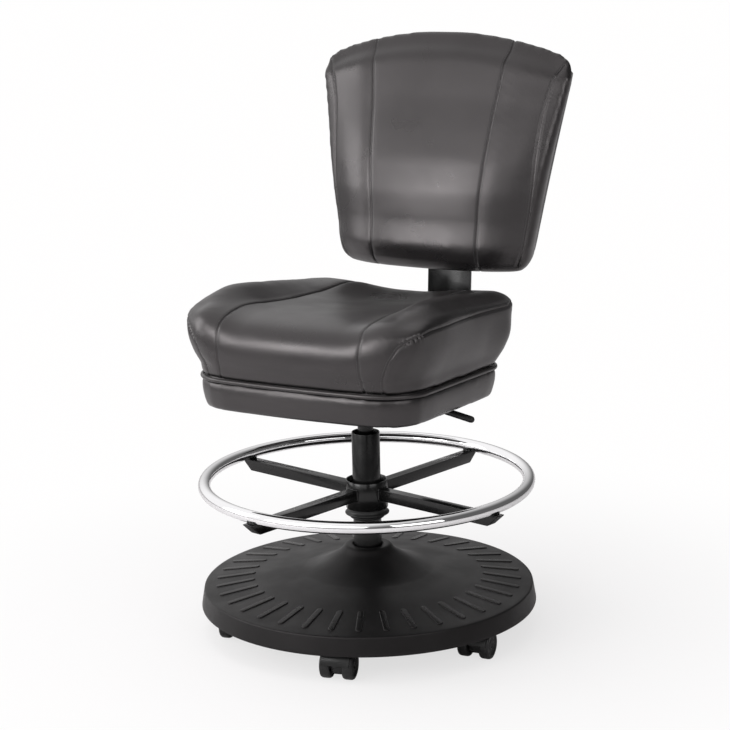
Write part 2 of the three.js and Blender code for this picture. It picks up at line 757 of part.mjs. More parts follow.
const barFace = -mechanismSheet - fitGap;
const barPassage = box([-barWidth / 2 - fitGap, 0, barFace - barThickness - fitGap],
  [barWidth / 2 + fitGap, seatRear + cutOverrun, barFace + fitGap]);
const skirt = lofted([
  outlineAt(seatPanel, weltRadius / 2, skirtTop),
  outlineAt(seatPanel, -skirtBulge / 2, skirtTop - skirtHeight / 4),
  outlineAt(seatPanel, -skirtBulge / 2 + skirtTuck / 4, skirtTop - skirtHeight / 2),
  outlineAt(seatPanel, skirtTuck * 0.7, skirtBottom + skirtHeight / 8),
  outlineAt(seatPanel, skirtTuck + skirtBulge, skirtBottom),
  outlineAt(seatPanel, skirtTuck / 2 + skirtWall, skirtBottom),
  outlineAt(seatPanel, skirtTuck / 2 + skirtWall, skirtTop),
], true);
place('seat_skirt', cut(skirt, barPassage), leather, seat);

const undersideTop = skirtTop - undersideDrop;
const undersideOpenings = [
  box([-undersideOpeningLength / 2, -undersideOpeningWidth / 2, undersideTop - cutOverrun],
    [undersideOpeningLength / 2, undersideOpeningWidth / 2, undersideTop + cutOverrun]),
  box([0, -leverSlotWidth / 2, undersideTop - cutOverrun],
    [leverSlotReach, leverSlotWidth / 2, undersideTop + cutOverrun]),
];
place('seat_underside_cover', cut(
  raised(panelOutline(seatPanel, boardInset), undersideTop - undersideThickness, undersideTop),
  ...undersideOpenings), baseBlack, seat);

// Seat cushion: dished between its two seams, raised along the sides, rolled over at the nose
const cushionPanel = {
  front: -cushionTopFront, rear: cushionTopRear,
  frontHalf: cushionTopHalfWidth, rearHalf: cushionTopRearHalfWidth,
  frontRadius: cushionNoseRadius, rearRadius: cushionTopRadius,
  frontBow: seatFrontBow, rearBow: seatRearBow,
};
const smooth = (value, low, high) => THREE.MathUtils.smoothstep(value, low, high);
const groove = (column) => (Math.abs(column) === 1 ? grooveDepth : 0);
const seatSeamShare = (along) => mix(0.645, 0.56, smooth(along, 0, 0.4));
function cushionTop(column, along) {
  const [x, y] = panelPoint(cushionPanel, sewnAcross(column, seatSeamShare(along)), along);
  const reach = Math.abs(column);
  const dish = reach < 1 ? -cushionDish * (1 - reach ** 2) * mix(0.1, 1.5, smooth(along, 0.1, 0.95)) : 0;
  const bolsterShare = smooth(along, -0.16, 0.24) * mix(1, 0.3, smooth(along, 0.3, 0.95));
  const climb = smooth(reach, 1, 1.72);
  const roll = smooth(reach, 1.7, 2.08);
  const edgeFall = cushionCornerDrop + bolsterRise * bolsterShare * bolsterEdgeShare;
  const bolster = bolsterRise * bolsterShare * climb - roll * edgeFall;
  const rearFall = -cushionCornerDrop * smooth(along, 0.9, 1.02);
  const frontFall = -cushionCornerDrop * 0.5 * (1 - smooth(along, 0, 0.08));
  return new THREE.Vector3(x, y, cushionHeight + dish + bolster + rearFall + frontFall - groove(column));
}
const padRings = [
  { acrossShare: 0.12, bulgeShare: 0.72, heightShare: 0.95 },
  { acrossShare: 0.27, bulgeShare: 0.97, heightShare: 0.87 },
  { acrossShare: 0.45, bulgeShare: 1, heightShare: 0.74 },
  { acrossShare: 0.6, bulgeShare: 0.98, heightShare: 0.56 },
  { acrossShare: 0.8, bulgeShare: 0.72, heightShare: 0.34 },
  { acrossShare: 0.9, bulgeShare: 0.35, heightShare: 0.16 },
  { acrossShare: 1, bulgeShare: 0, heightShare: 0 },
];
place('seat_cushion', pad({
  columns: sewnColumns,
  rows: sewnRows,
  top: cushionTop,
  foot: (column, along) => panelPoint(seatPanel, sewnAcross(column, seatSeamShare(along)), along, cushionInset),
  footHeight: cushionBottom,
  rings: padRings,
  bulge: (normal) => (normal.y < 0
    ? mix(sideBulge, noseBulge, (-normal.y) ** noseSpreadShare)
    : mix(sideBulge, rearBulge, normal.y)),
}), leather, seat);

// Mechanism: a pressed plate and channel with a taper socket, tilted only where it meets the seat board
const tilted = (geometry) => geometry.applyMatrix4(seat.matrix);
const channelBottom = seatPlane - channelDepth;
function mechanismPlate() {
  const plate = tilted(box([-mechanismWidth / 2, -mechanismLength / 2, -mechanismSheet],
    [mechanismWidth / 2, mechanismLength / 2, 0]));
  const tallChannel = box([-channelLength / 2, -channelWidth / 2, channelBottom],
    [channelLength / 2, channelWidth / 2, seatPlane + cutOverrun]);
  const below = tilted(box([-mechanismWidth, -mechanismLength, -channelDepth - taperSocketRadius],
    [mechanismWidth, mechanismLength, -mechanismSheet / 2]));
  const channel = common(tallChannel, below);
  const channelHollow = tilted(box([-channelLength, mechanismSheet - channelWidth / 2, -channelDepth * 2],
    [channelLength, channelWidth / 2 - mechanismSheet, -mechanismSheet]));
  const hollowAboveFloor = common(channelHollow, box(
    [-channelLength, -channelWidth, channelBottom + mechanismSheet],
    [channelLength, channelWidth, seatPlane + channelDepth]));
  const socketHeight = cylinderTop - fitGap;
  const socket = rod(taperSocketRadius, taperSocketBottom, socketHeight);
  const taper = turned([
    [0, taperSocketBottom - cutOverrun],
    [cylinderRadius + fitGap, taperSocketBottom - cutOverrun],
    [cylinderRadius + fitGap, taperSocketBottom],
    [cylinderRadius - cylinderTaper + fitGap, cylinderTop],
    [0, cylinderTop],
  ]);
  const pinHole = rod(leverPivotRadius + axleClearance, -channelWidth, channelWidth, smallSides)
    .rotateX(Math.PI / 2).translate(leverPivotX, 0, leverPivotHeight);
  const holes = [...boltPlaces, ...barBoltPlaces].map(([x, y]) =>
    tilted(rod(boltRadius + fitGap, -mechanismSheet - cutOverrun, cutOverrun, smallSides).translate(x, y, 0)));
  const pressed = cut(join(plate, channel), hollowAboveFloor);
  return cut(join(pressed, socket), taper, pinHole, ...holes);
}
const leverPivotHeight = leverHeight - leverDroopShare * leverPivotX;
place('mechanism_plate', mechanismPlate(), paintedSteel);

function bolt(under, engagement) {
  const head = rod(boltHeadRadius, under - boltHeadHeight, under, 6);
  return join(head, rod(boltRadius, under - boltHeadHeight / 2, engagement, smallSides));
}
boltPlaces.forEach(([x, y], k) => {
  const geometry = bolt(-mechanismSheet - fitGap, boardBottom + boltEngagement);
  place(`mechanism_bolt_${k + 1}`, geometry, steel, seat).position.set(x, y, 0);
});

// Lever, drooping towards its grip, and the pin that it rocks on
const leverAngle = Math.atan(leverDroopShare);
const alongLever = (geometry) =>
  geometry.rotateY(Math.PI / 2 + leverAngle).translate(leverPivotX, 0, leverPivotHeight);
const leverSpan = (x) => (x - leverPivotX) / Math.cos(leverAngle);
const pinBore = rod(leverPivotRadius + axleClearance, -leverHubWidth, leverHubWidth, smallSides)
  .rotateX(Math.PI / 2).translate(leverPivotX, 0, leverPivotHeight);
const leverHub = rod(leverHubRadius, -leverHubWidth / 2, leverHubWidth / 2, roundSides)
  .rotateX(Math.PI / 2).translate(leverPivotX, 0, leverPivotHeight);
place('height_lever', cut(join(
  alongLever(rod(leverRadius, leverSpan(leverStart), leverSpan(leverReach), smallSides)), leverHub), pinBore),
paintedSteel);
const pinHalf = channelWidth / 2 + mechanismSheet;
place('lever_pivot_pin', rod(leverPivotRadius, -pinHalf, pinHalf, smallSides)
  .rotateX(Math.PI / 2).translate(leverPivotX, 0, leverPivotHeight), steel);
const gripTip = leverSpan(gripReach);
place('lever_grip', alongLever(turned([
  [leverRadius + fitGap, leverSpan(gripStart)],
  [gripRadius - fitGap, leverSpan(gripStart)],
  [gripRadius, leverSpan(gripStart) + gripRadius],
  [gripRadius, gripTip - gripRadius],
  [gripRadius * Math.cos(30 * degree), gripTip - gripRadius / 2],
  [gripRadius / 2, gripTip - gripRadius * (1 - Math.cos(30 * degree))],
  [0, gripTip],
  [0, leverSpan(leverReach) + fitGap],
  [leverRadius + fitGap, leverSpan(leverReach) + fitGap],
], smallSides)), nylon);

// Back bar: a flat strap bent up behind the seat
const seatDrop = Math.tan(seatTilt * degree);
const barRise = Math.tan(barLean * degree);
const barDepthAt = (height) => barPlaneY + (height - barPlaneHeight) * barRise;
function backBar() {
  const seatLine = (y) => seatPlane + barFace / Math.cos(seatTilt * degree) - y * seatDrop;
  const topAngle = -seatTilt * degree;
  const turn = (90 - barLean + seatTilt) * degree;
  // Where the strap's upper and front faces would meet without the bend
  const meetY = (barPlaneY - (barPlaneHeight - seatLine(0)) * barRise) / (1 + barRise * seatDrop);
  const meetHeight = seatLine(meetY);
  const innerRadius = barBendRadius - barThickness / 2;
  const outerRadius = barBendRadius + barThickness / 2;
  const setback = innerRadius * Math.tan(turn / 2);
  const bendStart = [meetY - setback * Math.cos(topAngle), meetHeight - setback * Math.sin(topAngle)];
  const centre = [bendStart[0] - innerRadius * Math.sin(topAngle), bendStart[1] + innerRadius * Math.cos(topAngle)];
  const bend = (radius, reverse) => Array.from({ length: barBendSteps + 1 }, (_, k) => {
    const share = reverse ? 1 - k / barBendSteps : k / barBendSteps;
    const angle = topAngle - Math.PI / 2 + turn * share;
    return [centre[0] + radius * Math.cos(angle), centre[1] + radius * Math.sin(angle)];
  });
  const startTop = [barStart, seatLine(barStart)];
  const startUnder = [barStart + barThickness * Math.sin(topAngle), seatLine(barStart) - barThickness];
  const lean = barLean * degree;
  const endFront = [barDepthAt(barTop), barTop];
  const endRear = [endFront[0] + barThickness * Math.cos(lean), endFront[1] - barThickness * Math.sin(lean)];
  const side = [startUnder, ...bend(outerRadius, false), endRear, endFront, ...bend(innerRadius, true), startTop];
  const strap = raised(side, -barWidth / 2, barWidth / 2).rotateX(Math.PI / 2).rotateZ(Math.PI / 2);
  const underHoles = barBoltPlaces.map(([x, y]) =>
    tilted(rod(boltRadius + fitGap, barFace - barThickness - cutOverrun, barFace + cutOverrun, smallSides)
      .translate(x, y, 0)));
  return cut(strap, ...underHoles);
}
place('back_bar', backBar(), paintedSteel);
barBoltPlaces.forEach(([x, y], k) => {
  const geometry = bolt(barFace - barThickness - fitGap, boardBottom + boltEngagement);
  place(`back_bar_bolt_${k + 1}`, geometry, steel, seat).position.set(x, y, 0);
});

// Backrest, in a group whose zero depth is the front face of the bar and which leans with it
const back = new THREE.Group();
back.position.set(0, barDepthAt(backBottom), backBottom);
back.rotation.x = -barLean * degree;
chair.add(back);
// Panels lie in X and Y while they are shaped, and are stood up with their thickness towards -Y
const stood = (geometry) => geometry.rotateX(Math.PI / 2);
const backPanel = {
  front: 0, rear: backLength, frontHalf: backBottomHalfWidth, rearHalf: backTopHalfWidth,
  frontRadius: backBottomRadius, rearRadius: backTopRadius, frontBow: backBottomBow, rearBow: backTopBow,
};
place('backrest_board', stood(raised(panelOutline(backPanel, backBoardInset), fitGap, fitGap + backBoardThickness)),
  plywood, back);

const backThickness = (along) => {
  const main = mix(backLumbarThickness, backShoulderThickness, smooth(along, 0.3, 1.02) ** 0.9);
  return mix(main, backCrestThickness, smooth(along, 0.93, 1)) - backCrown * (1 - smooth(along, 0, 0.06)) * 2;
};
const backSeamShare = 0.585;
function backTopFace(column, along) {
  const [x, y] = panelPoint(backPanel, sewnAcross(column, backSeamShare), along, backEdgeInset);
  const reach = Math.abs(column);
  const crown = reach < 1 ? backCrown * (1 - reach ** 2) : 0;
  const edge = reach > 1 ? backEdgeDrop * (reach - 1) ** 1.7 : 0;
  const edgeShare = backThickness(along) / backLumbarThickness;
  return new THREE.Vector3(x, y, backThickness(along) + (crown - edge) * edgeShare - groove(column));
}
const backFoot = fitGap + backBoardThickness + fitGap;
const towards = (normal) => {
  if (normal.y > 0) return mix(backSideBulge, backTopBulge, normal.y ** 2);
  return mix(backSideBulge, backBottomBulge, normal.y ** 2);
};
place('backrest_cushion', stood(pad({
  columns: sewnColumns,
  rows: sewnRows,
  top: backTopFace,
  foot: (column, along) => panelPoint(backPanel, sewnAcross(column, backSeamShare), along, backRearInset),
  footHeight: backFoot,
  rings: padRings,
  bulge: towards,
})), leather, back);

function backCover() {
  const outline = panelOutline(backPanel, backCoverInset + backCoverBevel);
  const shape = new THREE.Shape(outline.map(([x, y]) => new THREE.Vector2(x, y)));
  const domed = new THREE.ExtrudeGeometry(shape, {
    depth: backCoverDepth, bevelEnabled: true, bevelThickness: backCoverBevel, bevelSize: backCoverBevel,
    bevelSegments: 3,
  }).translate(0, 0, backCoverBevel - backCoverDepth);
  const wide = backTopHalfWidth * 2;
  const rearHalf = common(domed, box([-wide, -wide, -backCoverDepth], [wide, wide, 0]));
  const pocket = raised(panelOutline(backPanel, backCoverInset + backCoverBevel + backCoverWall),
    backCoverWall - backCoverDepth, cutOverrun);
  const barSlot = box([-barWidth / 2 - fitGap, -cutOverrun, -barThickness - fitGap],
    [barWidth / 2 + fitGap, backLength / 2, cutOverrun]);
  return cut(rearHalf, pocket, barSlot);
}
place('backrest_rear_cover', stood(backCover()), leather, back);

// Stand the chair with its bounding box centred over the origin
chair.updateMatrixWorld(true);
const bounds = new THREE.Box3().setFromObject(chair, true);
const middle = bounds.getCenter(new THREE.Vector3());
chair.position.set(-middle.x, -middle.y, -bounds.min.z);

const part = new THREE.Group();
part.add(chair);
export default part;
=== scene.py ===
"""A padded swivel chair on a heavy round rolling base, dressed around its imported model.

Everything is in metres, +Z up, and the sitter faces -Y. Sizes are written in millimetres
and multiplied by MM. The column stands a little in front of the origin, at COLUMN_Y.
"""

import json
from math import copysign, cos, dist, exp, floor, pi, radians, sin, sqrt, tan

import bmesh
import bpy
import numpy as np
from mathutils import Matrix, Vector, noise
from mathutils.bvhtree import BVHTree
from mathutils.geometry import convex_hull_2d
from mathutils.kdtree import KDTree


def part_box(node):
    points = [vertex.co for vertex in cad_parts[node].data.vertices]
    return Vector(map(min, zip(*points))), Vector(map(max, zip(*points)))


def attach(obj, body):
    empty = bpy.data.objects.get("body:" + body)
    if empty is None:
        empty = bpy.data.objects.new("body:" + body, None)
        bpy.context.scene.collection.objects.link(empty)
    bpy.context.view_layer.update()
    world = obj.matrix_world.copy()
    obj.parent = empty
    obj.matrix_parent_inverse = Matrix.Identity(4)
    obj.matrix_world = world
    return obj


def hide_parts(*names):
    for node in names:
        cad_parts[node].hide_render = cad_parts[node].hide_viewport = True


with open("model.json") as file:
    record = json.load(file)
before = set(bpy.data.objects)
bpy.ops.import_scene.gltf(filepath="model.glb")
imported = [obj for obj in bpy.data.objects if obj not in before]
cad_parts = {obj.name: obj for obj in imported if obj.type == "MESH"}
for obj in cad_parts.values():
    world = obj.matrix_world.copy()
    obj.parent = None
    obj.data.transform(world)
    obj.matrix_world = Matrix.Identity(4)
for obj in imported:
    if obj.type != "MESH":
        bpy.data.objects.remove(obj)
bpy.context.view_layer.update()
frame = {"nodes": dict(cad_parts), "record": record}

MM = 0.001
COLUMN_Y = (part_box("column_tube")[0].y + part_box("column_tube")[1].y) / 2


def at_column(x, y, z):
    """A point given in millimetres from the foot of the column."""
    return Vector((x * MM, y * MM + COLUMN_Y, z * MM))


def y_from_column(point):
    """How far behind the column a point lies, in millimetres."""
    return (point.y - COLUMN_Y) / MM


def set_all(target, settings):
    for name, value in settings.items():
        setattr(target, name, value)
    return target


def in_scene(name, data):
    made = bpy.data.objects.new(name, data)
    bpy.context.scene.collection.objects.link(made)
    return made


# Camera, set by the ellipses of the base and the foot ring in the photograph
PHOTO_SIZE = 730
FOCAL_PIXELS = 2051.07
SENSOR_WIDTH = 36
CAMERA_AZIMUTH = radians(29.0)
CAMERA_YAW = radians(0.027)
CAMERA_PITCH = radians(13.044)
CAMERA_ROLL = radians(-1.2524)
CAMERA_DISTANCE = 3506.4
CAMERA_HEIGHT = 1289.5
CAMERA_SIGHT = 60


def camera_matrix():
    heading = CAMERA_AZIMUTH - CAMERA_YAW
    forward = Vector((
        -sin(heading) * cos(CAMERA_PITCH),
        cos(heading) * cos(CAMERA_PITCH),
        -sin(CAMERA_PITCH),
    ))
    level_right = Vector((cos(heading), sin(heading), 0))
    level_up = level_right.cross(forward)
    right = cos(CAMERA_ROLL) * level_right + sin(CAMERA_ROLL) * level_up
    up = cos(CAMERA_ROLL) * level_up - sin(CAMERA_ROLL) * level_right
    turn = Matrix((right, up, -forward)).transposed().to_4x4()
    place = at_column(
        CAMERA_DISTANCE * sin(CAMERA_AZIMUTH),
        -CAMERA_DISTANCE * cos(CAMERA_AZIMUTH),
        CAMERA_HEIGHT,
    )
    return Matrix.Translation(place) @ turn


camera = in_scene("camera", bpy.data.cameras.new("camera"))
camera.data.sensor_width = SENSOR_WIDTH
camera.data.lens = FOCAL_PIXELS * SENSOR_WIDTH / PHOTO_SIZE
camera.data.clip_end = CAMERA_SIGHT
camera.matrix_world = camera_matrix()
bpy.context.scene.camera = camera
CAMERA_TURN = camera_matrix().to_3x3()
CAMERA_PLACE = camera_matrix().translation

# Materials: each one grows its grain, unevenness and wear from object coordinates
WARM_SHINE = (1, 0.94, 0.95, 1)
CLOUD_RANGE = (0.3, 0.7)
GLOSS_RANGE = (0.35, 0.65)


def fill_in(tree, node, inputs):
    """Gives a node's inputs their values, or links to other nodes' outputs."""
    for socket, given in inputs.items():
        if isinstance(given, bpy.types.NodeSocket):
            tree.links.new(given, node.inputs[socket])
        else:
            node.inputs[socket].default_value = given


def added(tree, kind, inputs=(), **settings):
    """The outputs of a new node."""
    node = set_all(tree.nodes.new(kind), settings)
    fill_in(tree, node, dict(inputs))
    return node.outputs


def mapped(tree, value, low, high, to_low=0.0, to_high=1.0, **settings):
    return added(tree, "ShaderNodeMapRange", {
        "Value": value, "From Min": low, "From Max": high, "To Min": to_low, "To Max": to_high,
    }, **settings)["Result"]


def math_of(tree, operation, first, second):
    return added(tree, "ShaderNodeMath", {0: first, 1: second}, operation=operation)["Value"]


class Finish:
    """A node material built up step by step around one Principled shader."""

    def __init__(self, name, colour, roughness, metallic=0.0, **sockets):
        self.material = bpy.data.materials.new(name)
        self.material.use_nodes = True
        self.tree = self.material.node_tree
        self.place = added(self.tree, "ShaderNodeTexCoord")["Object"]
        self.normal = None
        sockets |= {"Base Color": (*colour, 1), "Roughness": roughness, "Metallic": metallic}
        self.feed({socket.replace("_", " "): value for socket, value in sockets.items()})

    def feed(self, inputs):
        fill_in(self.tree, self.tree.nodes["Principled BSDF"], inputs)

    def noise(self, scale, detail=3.0, distortion=0.0):
        return added(self.tree, "ShaderNodeTexNoise", {
            "Vector": self.place, "Scale": scale, "Detail": detail, "Distortion": distortion,
        })["Fac"]

    def clouds(self, scale, detail):
        return mapped(self.tree, self.noise(scale, detail), *CLOUD_RANGE)

    def cells(self, scale, wall, feature="DISTANCE_TO_EDGE"):
        inputs = {"Vector": self.place, "Scale": scale}
        found = added(self.tree, "ShaderNodeTexVoronoi", inputs, feature=feature)
        return mapped(self.tree, found["Distance"], 0, wall)

    def tint(self, value, dark, light):
        ramp = self.tree.nodes.new("ShaderNodeValToRGB")
        for stop, colour in zip(ramp.color_ramp.elements, (dark, light)):
            stop.color = (*colour, 1)
        fill_in(self.tree, ramp, {"Fac": value})
        self.feed({"Base Color": ramp.outputs["Color"]})

    def gloss(self, scale, low, high):
        self.feed({"Roughness": mapped(self.tree, self.noise(scale), *GLOSS_RANGE, low, high)})

    def bump(self, height, distance, strength=0.4):
        """Lays a relief over those before it, up to distance millimetres deep."""
        inputs = {"Strength": strength, "Distance": distance * MM, "Height": height}
        if self.normal is not None:
            inputs["Normal"] = self.normal
        self.normal = added(self.tree, "ShaderNodeBump", inputs)["Normal"]
        self.feed({"Normal": self.normal})


def grey(level, warmth=0.0):
    return (level * (1 + warmth), level, level * (1 + warmth / 2))


def leather_finish():
    look = Finish("leather", grey(0.009), 0.36, Specular_IOR_Level=0.72, Specular_Tint=WARM_SHINE)
    look.tint(look.clouds(7, 4), grey(0.006, warmth=0.06), grey(0.011, warmth=0.08))
    look.gloss(9, 0.27, 0.37)
    look.bump(look.noise(14, 2, 0.4), distance=0.9, strength=0.2)
    look.bump(look.cells(900, 0.35), distance=0.07)
    look.bump(look.noise(2600, 2), distance=0.025)
    return look.material


def thread_finish():
    look = Finish("thread", grey(0.02), 0.6, Sheen_Weight=0.3)
    look.bump(look.noise(4200, 2), distance=0.1, strength=0.6)
    # Painted highlight: the thread is coloured a lighter grey than the black leather, standing in for the
    # light its raised threads catch. The noise makes that tone uneven.
    look.tint(look.noise(900, 2), grey(0.025), grey(0.055))
    return look.material


def moulding_finish(name, smoothest, roughest):
    look = Finish(name, grey(0.007), 0.5, Specular_IOR_Level=0.22, Specular_Tint=WARM_SHINE)
    look.tint(look.clouds(9, 5), grey(0.005, warmth=0.03), grey(0.009, warmth=0.03))
    look.gloss(14, smoothest, roughest)
    look.bump(look.cells(1100, 0.8, "F1"), distance=0.09, strength=0.5)
    look.bump(look.noise(2400, 2), distance=0.04)
    return look.material


def paint_finish():
    look = Finish("painted_steel", grey(0.004), 0.2, Specular_IOR_Level=0.32, Coat_Weight=0.1,
                  Coat_Roughness=0.08)
    look.tint(look.noise(20, 4), grey(0.003), grey(0.006))
    look.gloss(30, 0.16, 0.28)
    look.bump(look.noise(420, 2), distance=0.05)
    return look.material


def cast_finish():
    look = Finish("cast_plate", grey(0.03), 0.7, metallic=0.2)
    look.tint(look.noise(30, 5), grey(0.02), grey(0.045))
    look.bump(look.noise(500, 5), distance=0.3, strength=0.7)
    return look.material


def chrome_finish():
    look = Finish("chrome", (0.88, 0.88, 0.89), 0.04, metallic=1.0)
    look.gloss(25, 0.02, 0.06)
    look.bump(look.noise(60, 2), distance=0.03, strength=0.3)
    return look.material


def steel_finish():
    look = Finish("bare_steel", (0.55, 0.55, 0.57), 0.3, metallic=1.0)
    look.tint(look.noise(150, 4), (0.42, 0.42, 0.44), (0.66, 0.66, 0.67))
    look.gloss(200, 0.22, 0.4)
    return look.material


def nylon_finish():
    look = Finish("nylon", grey(0.008), 0.42, Specular_IOR_Level=0.4)
    look.tint(look.noise(40), grey(0.006), grey(0.011))
    look.gloss(60, 0.36, 0.5)
    look.bump(look.noise(1800, 2), distance=0.04)
    return look.material


def plywood_finish():
    look = Finish("plywood", (0.45, 0.3, 0.16), 0.7)
    look.tint(look.noise(35, 6, 1.5), (0.36, 0.22, 0.11), (0.55, 0.39, 0.22))
    look.bump(look.noise(300, 4, 2.0), distance=0.15, strength=0.5)
    return look.material


FINISHES = {
    "leather": leather_finish(),
    "base_black": moulding_finish("base_black", 0.35, 0.46),
    "painted_steel": paint_finish(),
    "cast_plate": cast_finish(),
    "chrome": chrome_finish(),
    "bare_steel": steel_finish(),
    "nylon": nylon_finish(),
    "plywood": plywood_finish(),
}
THREAD = thread_finish()
WORN_MOULDING = moulding_finish("base_black_worn", 0.22, 0.32)
SLOT_OF = {row["node"]: row["material_slot"] for row in frame["record"]["subparts"]}


def finished(obj, slot, body, material=None):
    """Gives a piece its material, the finish of its record slot unless one is given, and the body it rides
    on.
    """
    obj.data.materials.clear()
    obj.data.materials.append(material or FINISHES[slot])
    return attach(obj, body)


# Meshes
SAME_PLACE = 0.001
SAME_CAD_PLACE = 0.01
NEARLY_PARALLEL = 0.95
SMOOTHING_SHARE = 0.5


def shade(mesh, smooth=True):
    mesh.polygons.foreach_set("use_smooth", [smooth] * len(mesh.polygons))


def sewn_up(mesh, gap):
    """Joins corners that lie within the gap, and turns the faces outward."""
    tidy = bmesh.new()
    tidy.from_mesh(mesh)
    bmesh.ops.remove_doubles(tidy, verts=tidy.verts, dist=gap * MM)
    bmesh.ops.recalc_face_normals(tidy, faces=tidy.faces)
    tidy.to_mesh(mesh)
    tidy.free()
    return mesh


def new_piece(name, vertices, faces, smooth=True):
    mesh = bpy.data.meshes.new(name)
    mesh.from_pydata([tuple(v) for v in vertices], [], faces)
    mesh.validate()
    shade(sewn_up(mesh, SAME_PLACE), smooth)
    return in_scene(name, mesh)


def lofted(loops, ends_meet=False):
    """Vertices and faces of a skin over loops of points; open ends are closed by a face."""
    count = len(loops[0])
    vertices = [point for loop in loops for point in loop]
    faces = []
    bands = len(loops) if ends_meet else len(loops) - 1
    for band in range(bands):
        here = band * count
        there = (band + 1) % len(loops) * count
        for k in range(count):
            following = (k + 1) % count
            faces.append((here + k, here + following, there + following, there + k))
    if not ends_meet:
        faces.append(tuple(range(count)))
        faces.append(tuple(range(len(vertices) - count, len(vertices))))
    return vertices, faces


def joined(skins):
    """Vertices and faces of several skins as those of one."""
    vertices = []
    faces = []
    for more_vertices, more_faces in skins:
        start = len(vertices)
        vertices += more_vertices
        faces += [tuple(start + index for index in face) for face in more_faces]
    return vertices, faces


def circle_angles(count):
    return [2 * pi * k / count for k in range(count)]


def turned(name, profile, turn, sides=64):
    """A ring-shaped piece: a closed profile of (radius, height) in millimetres about the Z axis of turn."""
    loops = []
    for angle in circle_angles(sides):
        loops.append([
            turn @ Vector((radius * cos(angle) * MM, radius * sin(angle) * MM, height * MM))
            for radius, height in profile
        ])
    return new_piece(name, *lofted(loops, ends_meet=True))


def section_loop(centre, across, upward, radius, sides):
    return [
        centre + radius * (cos(angle) * across + sin(angle) * upward)
        for angle in circle_angles(sides)
    ]


def tube_along(points, radii, sides, closed=False):
    """Vertices and faces of a round bar that follows points, with a radius for each point."""
    loops = []
    count = len(points)
    guide = Vector((0, 0, 1))
    for k, point in enumerate(points):
        ahead = points[(k + 1) % count] if closed or k + 1 < count else point
        behind = points[k - 1] if closed or k > 0 else point
        along = (ahead - behind).normalized()
        if abs(along.dot(guide)) > NEARLY_PARALLEL:
            guide = Vector((along.y, along.z, along.x))
        across = along.cross(guide).normalized()
        guide = across.cross(along).normalized()
        loops.append(section_loop(point, across, guide, radii[k], sides))
    return lofted(loops, ends_meet=closed)


def averaged(points, rounds, closed=False):
    """A line's points drawn towards their neighbours; an open line's ends stay."""
    for _ in range(rounds):
        ringed = [points[-1], *points, points[0]]
        moved = [(a + 2 * b + c) / 4 for a, b, c in zip(ringed, ringed[1:], ringed[2:])]
        points = moved if closed else [points[0], *moved[1:-1], points[-1]]
    return points


def surface_copy(node, name):
    """The CAD node's shape as a new object with shared corners."""
    mesh = frame["nodes"][node].data.copy()
    mesh.name = name
    return in_scene(name, sewn_up(mesh, SAME_CAD_PLACE))


def modify(piece, kind, **settings):
    return set_all(piece.modifiers.new(kind.lower(), kind), settings)


def settle(piece):
    """Writes what the modifiers make into the piece's own mesh."""
    shaped = piece.evaluated_get(bpy.context.evaluated_depsgraph_get())
    mesh = bpy.data.meshes.new_from_object(shaped)
    piece.modifiers.clear()
    piece.data = mesh
    shade(mesh)
    return piece


def remeshed(piece, voxel, smoothing=4):
    modify(piece, "REMESH", mode="VOXEL", voxel_size=voxel * MM, use_smooth_shade=True)
    modify(piece, "SMOOTH", iterations=smoothing, factor=SMOOTHING_SHARE)
    return settle(piece)


def softened(piece, rounds, weight_of):
    """Smooths a piece, more where weight_of a corner's place is nearer to 1."""
    group = piece.vertex_groups.new(name="soft")
    for vertex in piece.data.vertices:
        group.add([vertex.index], weight_of(vertex.co), "REPLACE")
    modify(piece, "SMOOTH", iterations=rounds, factor=SMOOTHING_SHARE, vertex_group=group.name)
    settle(piece)
    piece.vertex_groups.clear()
    return piece


def gently(value, low, high):
    """Rises smoothly from 0 at low to 1 at high."""
    share = min(1.0, max(0.0, (value - low) / (high - low)))
    return share * share * (3 - 2 * share)


def normals_of(piece):
    return [vertex.normal.copy() for vertex in piece.data.vertices]


def grown(piece, amount):
    """Moves every corner out along its normal."""
    for vertex, normal in zip(piece.data.vertices, normals_of(piece)):
        vertex.co += normal * amount * MM
    return piece


# Cushions: the CAD pad, smoothed and puffed up by a short cloth run that is held at its flat side
PUFF_FRAMES = 12
PUFF_LEAST = 1.8
PUFF_MOST = 4
PUFF_ROUNDS = 60
FOOT_REGROWTH = 4
CUSHION_VOXEL = 5
CUSHION_SHRINK = 2.5
CUSHION_ROUNDS = 16
ROLL_ROUNDS = 70
FOOT_RISE = 22
FOOT_SOFT_SHARE = 0.8
SKIN_ROUNDS = 16
PUFF_CLOTH = {
    "vertex_group_mass": "held", "quality": 5, "mass": 0.3, "tension_stiffness": 18,
    "compression_stiffness": 18, "bending_stiffness": 4, "use_pressure": True,
    "uniform_pressure_force": 2.0,
}


def evened_out(piece, values):
    """Values at a piece's corners, evened out among neighbours."""
    ends = np.empty(len(piece.data.edges) * 2, dtype=np.int64)
    piece.data.edges.foreach_get("vertices", ends)
    first, second = ends.reshape(-1, 2).T
    count = len(values)
    neighbours = np.bincount(ends, minlength=count)
    for _ in range(PUFF_ROUNDS):
        around = np.bincount(first, values[second], count) + np.bincount(second, values[first], count)
        values = (values + around / neighbours) / 2
    return values


